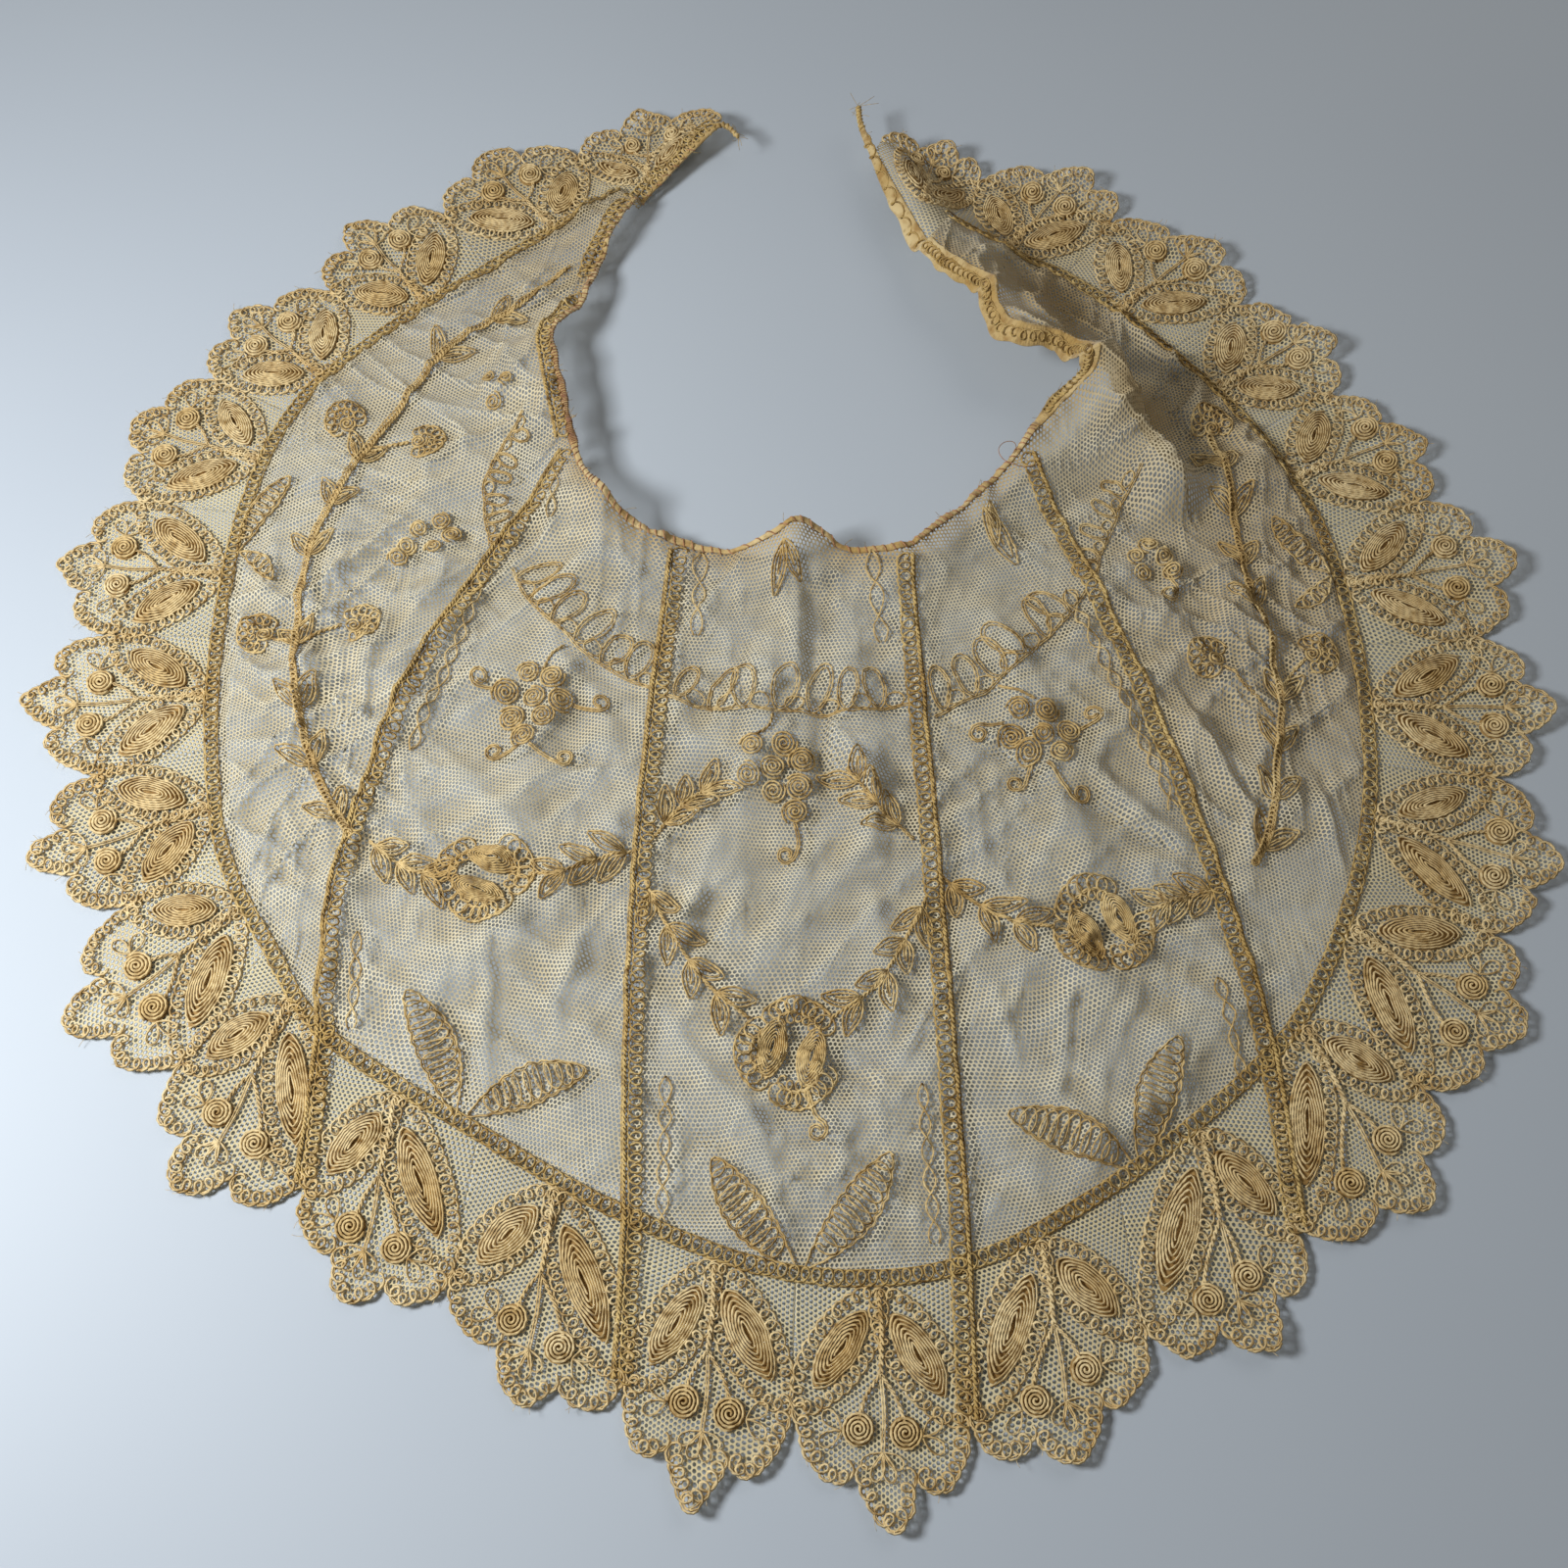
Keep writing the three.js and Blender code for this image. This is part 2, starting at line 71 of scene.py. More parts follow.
# notches of the hem, and the border line inside them
sections = table("at hemX hemY lineX lineY bowX bowY", [
    (0, -20, 200, -21, 196, 0, 0), (1, -67, 189, -54, 174, 0, 0), (2, -109, 165, -93, 145, 0, 0),
    (3, -142, 134, -129, 115, 0, 0), (4, -174, 101, -150, 89, 0, 0), (5, -190, 58, -160, 54, 0, 0),
    (6, -192, 13, -162, 13, 0, 0), (7, -189, -30, -159, -22, -4, 0), (8, -174, -68, -151, -54, -9, 0),
    (9, -154, -110, -136, -79, -14, 0), (10, -119, -140, -118, -103, -18, 0),
    (11, -81, -162, -77, -128, -9, 0),
    (12, -38, -186, -37, -149, -4, 0), (13, 2, -193, 3, -162, -2, 0), (14, 43, -195, 43, -160, 1, 0),
    (15, 87, -175, 83, -140, 4, 0), (16, 126, -151, 124, -109, 7, 0), (17, 162, -116, 141, -87, 5, 0),
    (18, 186, -75, 155, -57, 3, 0), (19, 194, -31, 162, -27, 0, 5), (20, 197, 12, 163, 10, 0, 13),
    (21, 186, 57, 158, 48, 0, 16), (22, 165, 96, 143, 82, 0, 9), (23, 141, 130, 119, 112, 0, 3),
    (24, 104, 162, 89, 141, 0, 0), (25, 64, 179, 52.6, 156.8, 0, 0), (26, 32, 188, 29, 181, 0, 0),
])
# the neck edge: its place, how high it stands, how far out that lift dies away, and its tape
neck = table("at x y lift fall tape tilt", [
    (-0.4, -15, 191, 10, 18, 1.8, 0), (0, -21, 196, 8, 20, 2.4, 0), (0.5, -34, 183, 5, 20, 2.6, 0),
    (1, -47, 167, 3, 20, 2.6, 0), (2, -57, 146, 3, 20, 2.6, 0), (3, -61, 130, 6, 24, 2.6, 0),
    (3.6, -65, 120, 8, 24, 2.6, 0), (4.2, -70, 112, 10, 26, 2.6, 0), (5, -69, 102, 11, 28, 2.8, 0),
    (6, -67, 93, 9, 28, 2.8, 0), (8, -64, 80, 8, 28, 3.0, 0), (10, -62, 71, 9, 30, 3.0, 0),
    (10.5, -58, 61, 10, 30, 3.0, 0), (11, -52, 52, 12, 30, 3.0, 0), (11.5, -43, 45, 7, 28, 3.0, 0),
    (12, -30, 41, 4, 24, 2.8, 0), (12.6, -12, 37, 5, 22, 2.8, 0), (12.8, -3, 39, 9, 20, 2.8, 0),
    (13, 3, 42, 12, 20, 2.8, 0), (13.2, 9, 41, 10, 20, 2.8, 0), (13.5, 19, 37, 6, 22, 2.8, 0),
    (14, 34, 37, 7, 26, 2.8, 0), (14.5, 43, 44, 6, 26, 2.8, 0), (15, 52, 52, 4, 24, 2.8, 0),
    (15.5, 61, 61, 4, 24, 2.8, 10), (16, 70, 71, 6, 24, 3.0, 16), (17, 78, 79, 9, 24, 3.6, 24),
    (18, 84, 84, 14, 26, 4.6, 34), (19, 90, 88, 20, 28, 5.6, 42), (20, 88, 97, 22, 30, 6.2, 44),
    (20.6, 81, 102, 21, 32, 6.4, 44), (21.3, 70, 104, 20, 34, 6.4, 44), (22, 64, 112, 20, 36, 6.2, 44),
    (22.8, 62, 122, 19, 36, 6.0, 44), (24, 52, 132, 18, 36, 5.8, 44), (25, 45, 142, 16, 36, 5.2, 42),
    (25.5, 37, 160, 14, 34, 4.4, 40), (26, 29, 181, 12, 30, 3.2, 36), (26.5, 25, 194, 14, 24, 2.2, 30),
    (27, 24, 202, 16, 20, 1.8, 20),
])
# ridges where the net stands up, with their height at both ends
folds = table("fromX fromY toX toY riseFrom riseTo halfWidth", [
    (94, 90, 113, 60, 9, 9, 14), (113, 60, 143, 66, 6, 4, 15), (72, 103, 100, 116, 5, 2, 12),
    (3, 42, -4, 2, 4, 3, 11), (-4, 2, -16, -60, 3, 2, 10), (18, 20, 22, -52, 2, 3, 9),
    (-62, 30, -74, -50, 2, 3, 10), (-100, 40, -112, -20, 3, 2, 10), (60, 20, 82, -60, 2, 3, 10),
    (-60, -66, -96, -96, 3, 2, 9), (64, -72, 96, -104, 3, 2, 9), (-128, 60, -138, -8, 2, 3, 10),
    (128, 30, 138, -40, 3, 2, 10),
])
# each scallop's middle lobe: reach past its notches, lean along the hem, and how high its tip lies
scallops = table("reach lean tipLift", [
    (12, 2, 4), (16, 2, 2), (18, 3, 1.5), (17, 3, 0), (17, 0, 0), (21, 0, 0), (24, -2, 0), (23, -2, 0),
    (25, 1, 0), (23, 0, 0), (19, 3, 0), (17, 5, 0), (25, 0, 2), (25, 4, 1.5), (19, -4, 1.5), (19, 0, 1.5),
    (20, 2, 2), (18, 2, 2), (18, -1, 3), (19, -1, 3), (21, -2, 3.5), (15, -7, 3.5), (14, -8, 4),
    (14, -8, 4), (15, -10, 5), (8, -3, 6),
])
gores = [("outer_left", 1, 10), ("inner_left", 10, 12), ("center", 12, 14), ("inner_right", 14, 16),
         ("outer_right", 16, 25)]
lastNotch = 26


def smooth(t):
    # smoothstep: 3t^2 - 2t^3 between 0 and 1
    t = np.clip(t, 0, 1)
    return t * t * (3 - 2 * t)


def through(rows, column, at):
    # cubic through a column: a(1-bend) + b bend + slopeA t(1-t)^2 - slopeB t^2(1-t), with
    # bend = t^2(3-2t) and each slope taken from the rows on both sides
    stations, values = rows["at"], rows[column]
    last = len(stations) - 1
    at = np.asarray(at, float)
    k = np.clip(np.searchsorted(stations, at, side="right") - 1, 0, last - 1)
    before, after = np.maximum(k - 1, 0), np.minimum(k + 2, last)
    span = stations[k + 1] - stations[k]
    t = (at - stations[k]) / span
    slopeA = (values[k + 1] - values[before]) / (stations[k + 1] - stations[before]) * span
    slopeB = (values[after] - values[k]) / (stations[after] - stations[k]) * span
    bend = t * t * (3 - 2 * t)
    return (values[k] * (1 - bend) + values[k + 1] * bend
            + slopeA * t * (1 - t) ** 2 - slopeB * t * t * (1 - t))


def neckEdge(at):
    # a place on the neck edge, counted in notches
    return np.stack([through(neck, "x", at), through(neck, "y", at)], -1)


def borderLine(at):
    # a place on the inner border line, counted in notches
    return np.stack([through(sections, "lineX", at), through(sections, "lineY", at)], -1)


def planPoint(at, depth):
    # straight from neck edge to border line, bowed most at half depth
    depth = np.asarray(depth, float)
    share = depth[..., None]
    point = neckEdge(at) * (1 - share) + borderLine(at) * share
    bow = np.stack([through(sections, "bowX", at), through(sections, "bowY", at)], -1)
    return point + bow * 4 * share * (1 - share)


def awayFrom(point, fromX, fromY, toX, toY):
    # distance from a straight stretch, and the share of the way along it
    run = np.array([toX - fromX, toY - fromY])
    offset = point - np.array([fromX, fromY])
    along = np.clip(offset @ run / (run @ run), 0, 1)
    return np.linalg.norm(offset - along[..., None] * run, axis=-1), along


def endsOf(rows, k):
    # where the ridge or crease k of a table starts and stops
    return [rows[name][k] for name in ("fromX", "fromY", "toX", "toY")]


def ridges(point):
    # each ridge falls as half a cosine wave to its sides and off its ends
    total = np.zeros(point.shape[:-1])
    for k in range(len(folds["fromX"])):
        distance, along = awayFrom(point, *endsOf(folds, k))
        away = np.minimum(distance / folds["halfWidth"][k], 1)
        crest = folds["riseFrom"][k] * (1 - along) + folds["riseTo"][k] * along
        total += crest * 0.5 * (1 + np.cos(np.pi * away))
    return total


def clothHeight(at, point):
    # the neck's lift dying away outwards, and the ridges, which die out before the border line
    away = np.linalg.norm(point - neckEdge(at), axis=-1) / through(neck, "fall", at)
    lift = through(neck, "lift", at) * smooth(1 - np.minimum(away, 1))
    inside = np.where((at > 1) & (at < lastNotch - 1), np.linalg.norm(point - borderLine(at), axis=-1), 0)
    return lift + ridges(point) * smooth(inside / 14) * (1 - 0.35 * smooth(1 - away))


# the net's own form: layers of noise, sets of pulled ridges, and gathers at what is sewn on it
net = {
    "perNotch": 28, "rows": 96, "lieOn": 0.45, "thickness": 0.22,  # mm over the solid's underside
    "rumple": [(32, 1.3, 3), (11, 0.7, 4), (4.4, 0.42, 5)],         # size, rise, seed
    "pulled": [(40, 9, 2.6, 38, 6), (30, 7, 2.2, -44, 7), (20, 5, 1.5, 84, 8),
               (15, 4, 1.0, 15, 9)],                               # long, wide, rise, turn, seed
    "seamPucker": (8.5, 0.9, 13), "linePucker": (11.5, 0.5, 10),    # pitch, rise, reach
    "neckPucker": (9, 0.5, 10),
    "neckWay": 14.0, "hemWay": 38.0, "goreWay": 110.0,              # mm along each edge and down a gore
    "hemWave": (13, 0.5), "grainWander": 6.0, "curl": 1.6, "ragged": 1.5,
}
seams = (10, 12, 14, 16)
creaseShape = {"rise": 1.4, "sharp": 2.2, "steep": 0.55, "wander": 5, "ends": 0.3}
# soft creases: rise over 0 is a pulled ridge, under 0 a trough
creases = table("fromX fromY toX toY rise halfWidth", [
    (-33, -98, -2, -134, 2.4, 5), (-38, -114, -12, -138, -1.4, 5), (4, 32, 5, -10, 2.6, 5),
    (10, -12, 13, -34, -3.0, 4), (14, -15, 28, -42, 2.2, 4), (-17, -50, -28, -88, 2.0, 5),
    (16, -41, -3, -77, 1.7, 5), (-25, -121, -27, -148, 1.3, 4), (20, -118, 17, -140, 1.2, 4),
    (-70, -32, -41, -27, 2.2, 4), (-78, -77, -76, -121, 2.0, 5), (-52, -72, -61, -109, 1.7, 5),
    (-103, -85, -91, -111, 1.4, 4), (-68, 16, -44, -21, 1.6, 5), (-92, -30, -70, -50, 1.4, 5),
    (44, -12, 81, -38, -1.8, 5), (81, -38, 116, -60, -1.8, 4), (79, -24, 114, -53, 2.4, 5),
    (73, -88, 70, -121, 1.8, 4), (54, -91, 60, -116, 1.4, 4), (92, -91, 80, -119, 1.4, 4),
    (48, -44, 66, -70, 1.2, 5), (108, -2, 126, -44, 2.4, 5), (144, -29, 150, -61, 1.6, 4),
    (100, 32, 116, 16, 1.6, 5), (153, 42, 163, 16, 1.4, 4), (134, -20, 122, -66, 1.6, 5),
    (-156, 1, -136, -2, 1.7, 4), (-156, -21, -136, -22, 1.7, 4), (-113, 23, -120, -21, 1.8, 5),
    (-117, -2, -93, 16, 1.5, 4), (-149, -47, -125, -75, 1.6, 5), (-134, 26, -102, 63, 1.8, 5),
    (-112, 69, -72, 91, 1.8, 5), (-124, 104, -94, 112, 1.2, 5), (-86, 138, -62, 118, 1.2, 4),
    (-112, -18, -98, -44, 1.5, 4), (-128, -30, -120, -62, 1.3, 5), (-20, 8, -30, -20, 1.1, 5),
    (28, 30, 40, 4, 1.2, 5), (22, -60, 30, -96, 1.3, 5), (-8, -118, 2, -152, 1.1, 4),
    (146, 70, 128, 84, 1.8, 5), (112, 74, 128, 100, 1.8, 5), (100, 84, 92, 122, 1.8, 6),
    (76, 118, 84, 144, 1.5, 5), (60, 134, 72, 152, 1.3, 5), (120, 40, 104, 12, 1.6, 5),
    (130, 30, 142, -8, 1.3, 4), (126, 96, 106, 124, 1.3, 5), (60, 20, 72, -8, 1.3, 5),
])
# the pleat by the right neck: gentle up to its fold edge, then sheer into a pocket, and a lip beyond
pleat = {"edge": (94, 104, 114, 62), "rise": 4.5, "gentle": 8.0, "sheer": 1.5,
         "pocket": 9.0, "pocketAt": 8.0, "pocketWide": 6.0, "lip": (118, 66, 142, 70), "lipRise": 3.2}


def softNoise(point, size, seed):
    # smoothed random heights from 0 to 1 on a square lattice of that size
    lattice = np.random.default_rng(seed).random((64, 64))
    place = point / size + 31.7
    cell = np.floor(place).astype(int)
    t = smooth(place - cell)
    x, y = cell[..., 0] % 64, cell[..., 1] % 64
    low = lattice[x, y] * (1 - t[..., 0]) + lattice[(x + 1) % 64, y] * t[..., 0]
    high = lattice[x, (y + 1) % 64] * (1 - t[..., 0]) + lattice[(x + 1) % 64, (y + 1) % 64] * t[..., 0]
    return low * (1 - t[..., 1]) + high * t[..., 1]


def softPair(point, size, seedX, seedY):
    # two such heights, one for each direction of the plan
    return np.stack([softNoise(point, size, seedX), softNoise(point, size, seedY)], -1)


def turned(point, degrees):
    # coordinates in axes turned by that angle
    cos, sin = np.cos(np.radians(degrees)), np.sin(np.radians(degrees))
    x, y = point[..., 0], point[..., 1]
    return np.stack([x * cos + y * sin, y * cos - x * sin], -1)


def pulledRidges(point):
    # (1 - |2n - 1|)^5 of long narrow noise: sharp ridges with flat cloth between, coming and going
    total = np.zeros(point.shape[:-1])
    for long, wide, rise, turn, seed in net["pulled"]:
        bent = turned(point, turn + 14 * softNoise(point, 70, seed + 40))
        n = softNoise(bent, np.array([long, wide]), seed)
        total += rise * (1 - np.abs(2 * n - 1)) ** 5 * smooth(2.1 * softNoise(point, 42, seed + 20) - 0.2)
    return total


def ripple(along, away, pucker, point, seed):
    # gathers across a sewn line: a wave along it, uneven by noise, that dies away from it
    pitch, rise, reach = pucker
    uneven = softNoise(point, 15, seed)
    wave = 0.5 + 0.5 * np.sin(2 * np.pi * (along / pitch + 2.2 * uneven))
    return rise * wave * np.exp(-np.maximum(away, 0) / reach) * smooth(2.6 * uneven - 0.5)


def sideOf(point, fromX, fromY, toX, toY):
    # +1 to the left of a line, -1 to its right
    offset = point - np.array([fromX, fromY])
    return np.sign((toX - fromX) * offset[..., 1] - (toY - fromY) * offset[..., 0])


def overfold(point):
    # e^-(d/gentle)^2 on the near side and e^-(d/sheer)^2 on the far one, less the pocket, plus the lip
    distance, along = awayFrom(point, *pleat["edge"])
    far = sideOf(point, *pleat["edge"]) > 0
    ends = smooth(along * 4) * smooth((1 - along) * 9 + 0.35)
    fold = np.exp(-(distance / np.where(far, pleat["sheer"], pleat["gentle"])) ** 2)
    hollow = np.where(far, np.exp(-((distance - pleat["pocketAt"]) / pleat["pocketWide"]) ** 2), 0)
    lipAway, lipAlong = awayFrom(point, *pleat["lip"])
    lip = np.exp(-(lipAway / 3.0) ** 2) * (1 - 0.6 * lipAlong)
    return ends * (pleat["rise"] * fold - pleat["pocket"] * hollow) + pleat["lipRise"] * lip


def wrinkles(at, depth, point):
    # noise of three sizes, pulled ridges, gathers at the seams, the border line and the neck, and
    # the creases: e^-2.2(d/w)^2 across, steeper on one side, fading to both ends
    rise = sum(r * softNoise(point, size, seed) ** 1.6 for size, r, seed in net["rumple"])
    rise = rise + pulledRidges(point)
    across = 20 + 24 * depth  # mm from notch to notch
    down, up = depth * net["goreWay"], (1 - depth) * net["goreWay"]
    for seam in seams:
        rise = rise + ripple(down, np.abs(at - seam) * across, net["seamPucker"], point, seam)
    rise = rise + ripple(at * net["hemWay"], up, net["linePucker"], point, 71)
    rise = rise + ripple(at * net["neckWay"], down, net["neckPucker"], point, 72)
    for k in range(len(creases["fromX"])):
        ends = endsOf(creases, k)
        wander = creaseShape["wander"] * (softPair(point, 16, 90 + k, 190 + k) - 0.5)
        distance, along = awayFrom(point + wander, *ends)
        steep = np.where(sideOf(point + wander, *ends) > 0, creaseShape["steep"], 1.0)
        side = np.exp(-(distance / (creases["halfWidth"][k] * steep)) ** 2 * creaseShape["sharp"])
        fade = creaseShape["ends"] + (1 - creaseShape["ends"]) * np.sin(np.pi * along)
        rise = rise + creaseShape["rise"] * creases["rise"][k] * side * fade
    return rise


def restOnTable(height):
    # keeps cloth off the table without a hard kink: half of h + sqrt(h^2 + 0.2)
    return 0.5 * (height + np.sqrt(height ** 2 + 0.2))


def netHeight(at, depth, point):
    # the cloth's height, the wrinkles and the pleat, all flatter just before the border line
    fade = smooth((1 - depth) * 14)
    own = wrinkles(at, depth, point) * (0.25 + 0.75 * fade)
    return restOnTable(clothHeight(at, point) + own + overfold(point) * fade) + net["lieOn"]


def unit(vector):
    return vector / np.linalg.norm(vector, axis=-1, keepdims=True)


def notch(i):
    # where two scallops meet at the hem
    return np.array([sections["hemX"][i], sections["hemY"][i]])


def innerEdge(i, along):
    # the end scallops sit on the neck edge itself, the others on the border line
    if i in (0, lastNotch - 1):
        return neckEdge(i + along)
    return borderLine(i + along)


def scallopFrame(i):
    # a place from shares: along the chord from notch to notch, and out as a share of the reach
    a, b = notch(i), notch(i + 1)
    chord = b - a
    out = unit(np.array([chord[1], -chord[0]]))
    if out @ (innerEdge(i, 0.5) - a) > 0:
        out = -out
    lean = unit(chord) * scallops["lean"][i]

    def place(along, reach):
        along, reach = np.asarray(along, float)[..., None], np.asarray(reach, float)[..., None]
        return a + chord * along + out * reach * scallops["reach"][i] + lean * np.maximum(reach, 0)

    return a, chord, out, place


def evenly(line, count=None, spacing=None):
    # points at equal distances along a polyline
    step = np.linalg.norm(np.diff(line, axis=0), axis=1)
    travelled = np.concatenate([[0], np.cumsum(step)])
    if count is None:
        count = max(int(round(travelled[-1] / spacing)) + 1, 3)
    stops = np.linspace(0, travelled[-1], count)
    return np.stack([np.interp(stops, travelled, line[:, k]) for k in range(line.shape[1])], 1)


def smoothLine(stops, spacing):
    # an even curve through given points
    stops = np.asarray(stops, float)
    step = np.linalg.norm(np.diff(stops, axis=0), axis=1)
    rows = {"at": np.concatenate([[0], np.cumsum(step)]), "x": stops[:, 0], "y": stops[:, 1]}
    s = np.linspace(0, rows["at"][-1], max(int(rows["at"][-1] / spacing * 2), 12))
    return evenly(np.stack([through(rows, "x", s), through(rows, "y", s)], 1), spacing=spacing)


# half of the three-lobed edge: a round side lobe, a sharp dip, then half of the pointed middle one
sideLobe = [(0, 0), (0.02, 0.2), (0.07, 0.44), (0.16, 0.6), (0.26, 0.62), (0.32, 0.5)]
middleLobe = [(0.32, 0.5), (0.345, 0.66), (0.39, 0.84), (0.45, 0.95), (0.5, 1)]


def lobedEdge(i, spacing):
    # the four stretches of a scallop's edge, each a smooth line with a little raggedness
    place = scallopFrame(i)[3]
    lobes = []
    for side, shares in ((0, sideLobe), (0, middleLobe), (1, middleLobe[::-1]), (1, sideLobe[::-1])):
        shares = np.array(shares)
        line = smoothLine(place(np.abs(side - shares[:, 0]), shares[:, 1]), spacing)
        lobes.append(line + net["ragged"] * (softPair(line, 4.5, 35, 36) - 0.5))
    return lobes


def scallopHeight(i, point):
    # the cloth's own height, the lift of the tip, a slow wave along the hem and a little noise
    a, chord, out, _ = scallopFrame(i)
    offset = point - a
    at = i + np.clip(offset @ chord / (chord @ chord), 0, 1)
    outShare = np.maximum(offset @ out / scallops["reach"][i], 0)
    pitch, rise = net["hemWave"]
    wave = rise * (1 + np.sin(2 * np.pi * at * net["hemWay"] / pitch + 5 * softNoise(point, 9, 31)))
    small = sum(0.35 * r * softNoise(point, size, seed) for size, r, seed in net["rumple"])
    # edges that turn up here and there
    curled = net["curl"] * smooth(3 * softNoise(point, 13, 33) - 1.7) * outShare ** 2
    rest = (clothHeight(at, point) + scallops["tipLift"][i] * outShare + small + curled
            + wave * smooth(outShare + 0.3) * 0.5)
    return restOnTable(rest) + net["lieOn"]


def netGrid(points, heights):
    # plan points with their heights
    return np.concatenate([points, heights[..., None]], -1)


def goreSheet(start, end):
    # columns from notch to notch, rows from the neck down: depth = share^1.06
    at = np.linspace(start, end, (end - start) * net["perNotch"] + 1)
    depth = np.linspace(0, 1, net["rows"] + 1) ** 1.06
    at, depth = np.meshgrid(at, depth)
    point = planPoint(at, depth)
    return netGrid(point, netHeight(at, depth, point))


def scallopSheet(i):
    # straight lines from the inner edge to the lobed one
    columns, rows = 44, 26
    outer = evenly(np.concatenate(lobedEdge(i, 1.0)), columns + 1)
    inner = innerEdge(i, np.linspace(0, 1, 30))
    if i == 0:
        inner = np.concatenate([inner, [borderLine(1.0)]])
    if i == lastNotch - 1:
        inner = np.concatenate([[borderLine(25.0)], inner])
    inner = evenly(inner, columns + 1)
    share = np.linspace(0, 1, rows + 1)[:, None, None]
    point = inner * (1 - share) + outer * share
    return netGrid(point, scallopHeight(i, point))


goreGrids = {name: goreSheet(start, end) for name, start, end in gores}
scallopGrids = [scallopSheet(i) for i in range(lastNotch)]
print("net laid out:", len(goreGrids), "gores,", len(scallopGrids), "scallops")


def heightMap(grids, cell=1.2):
    # mean height of the net in square cells; empty cells take their neighbours' mean, ring by ring
    points = np.concatenate([grid.reshape(-1, 3) for grid in grids])
    low = points[:, :2].min(0) - 14
    size = np.ceil((points[:, :2].max(0) + 14 - low) / cell).astype(int)
    index = ((points[:, :2] - low) / cell).astype(int)
    flat = index[:, 0] * size[1] + index[:, 1]
    count = np.bincount(flat, minlength=size.prod()).astype(float).reshape(size)
    total = np.bincount(flat, points[:, 2], minlength=size.prod()).reshape(size)
    for _ in range(11):
        around = [np.roll(np.roll(field, dx, 0), dy, 1)
                  for field in (total / np.maximum(count, 1e-9) * (count > 0), (count > 0).astype(float))
                  for dx in (-1, 0, 1) for dy in (-1, 0, 1)]
        empty = (count == 0) & (sum(around[9:]) > 0)
        total[empty] = (sum(around[:9])[empty] / sum(around[9:])[empty])
        count[empty] = 1
    return low, cell, total / np.maximum(count, 1)


mapLow, mapCell, clothMap = heightMap([*goreGrids.values(), *scallopGrids])


def clothTop(point):
    # height of the net at any place, between the map's four nearest cells
    place = (point[..., :2] - mapLow) / mapCell - 0.5
    place = np.clip(place, 0, np.array(clothMap.shape) - 2.001)
    cell = place.astype(int)
    t = place - cell
    x, y = cell[..., 0], cell[..., 1]
    low = clothMap[x, y] * (1 - t[..., 0]) + clothMap[x + 1, y] * t[..., 0]
    high = clothMap[x, y + 1] * (1 - t[..., 0]) + clothMap[x + 1, y + 1] * t[..., 0]
    return low * (1 - t[..., 1]) + high * t[..., 1]


def hexColour(code):
    # sRGB hex to linear
    share = [int(code[k:k + 2], 16) / 255 for k in (1, 3, 5)]
    return (*(s / 12.92 if s <= 0.04045 else ((s + 0.055) / 1.055) ** 2.4 for s in share), 1.0)


def addNode(tree, kind, parts=None, output=0):
    # a part is a setting, a socket's own value (hex for a colour), or another node's output to link
    node = tree.nodes.new(kind)
    for name, value in (parts or {}).items():
        if isinstance(value, bpy.types.NodeSocket):
            tree.links.new(value, node.inputs[name])
        elif isinstance(name, int) or name in node.inputs:
            node.inputs[name].default_value = hexColour(value) if isinstance(value, str) else value
        else:
            setattr(node, name, value)
    return node if output is None else node.outputs[output]


def newMaterial(name, settings):
    material = bpy.data.materials.new(name)
    material.use_nodes = True
    tree = material.node_tree
    tree.nodes.clear()
    surface = addNode(tree, "ShaderNodeBsdfPrincipled", settings, None)
    addNode(tree, "ShaderNodeOutputMaterial", {"Surface": surface.outputs[0]}, None)
    return material, tree, surface


def patches(tree, vector, patch):
    # noise of a size in mm, spread so that low to high becomes 0 to most
    size, detail, low, high, most = patch
    noise = addNode(tree, "ShaderNodeTexNoise",
                    {"Vector": vector, "Scale": 1 / (size * mm), "Detail": detail}, "Fac")
    return addNode(tree, "ShaderNodeMapRange",
                   {"Value": noise, "From Min": low, "From Max": high, "To Max": most})


def painted(tree, surface, base, layers):
    # each layer's colour laid over the last by its own share, from the first colour up
    for share, colour in layers:
        base = addNode(tree, "ShaderNodeMix", {"data_type": "RGBA", 0: share, 6: base, 7: colour}, 2)
    tree.links.new(base, surface.inputs["Base Color"])


def roughened(tree, surface, height, strength, distance):
    # the surface's normal tilted by a height; the distance is in metres
    bump = addNode(tree, "ShaderNodeBump", {"Height": height, "Strength": strength, "Distance": distance})
    tree.links.new(bump, surface.inputs["Normal"])


# the real cells are about 1 mm; they are drawn a little coarser so that they show
# in both nets, crest is a painted highlight colour for the crests of the cloth
# in both nets, fold is a painted shade colour for the troughs of the cloth
goreNet = {"name": "cotton_net", "cell": 1.16, "hole": (0.385, 0.475), "pale": "#ddd2b3", "tan": "#cdbd95",
           "grey": "#c1b69a", "fold": "#a08e66", "crest": "#ece5ca", "aged": "#b0925a",
           "agedFrom": 0.11, "agedTo": 0.25, "shade": 0.85}
borderNet = {"name": "border_net", "cell": 1.28, "hole": (0.43, 0.51), "pale": "#e0d3aa", "tan": "#ceb886",
             "grey": "#c4b48d", "fold": "#a48e5e", "crest": "#ece5ca", "aged": "#bb9e68",
             "agedFrom": 0.13, "agedTo": 0.29, "shade": 0.85}
# uneven patches of the net: size in mm, detail, low, high, most
netPatches = {"streak": (24, 4, 0.36, 0.62, 1.0), "tan": (60, 3, 0.4, 0.7, 0.5),
              "grey": (9, 4, 0.45, 0.8, 0.5), "golden": (40, 2, 0.0, 1.0, 1.0),
              "drawn": (7, 4, 0.0, 1.0, 1.0)}


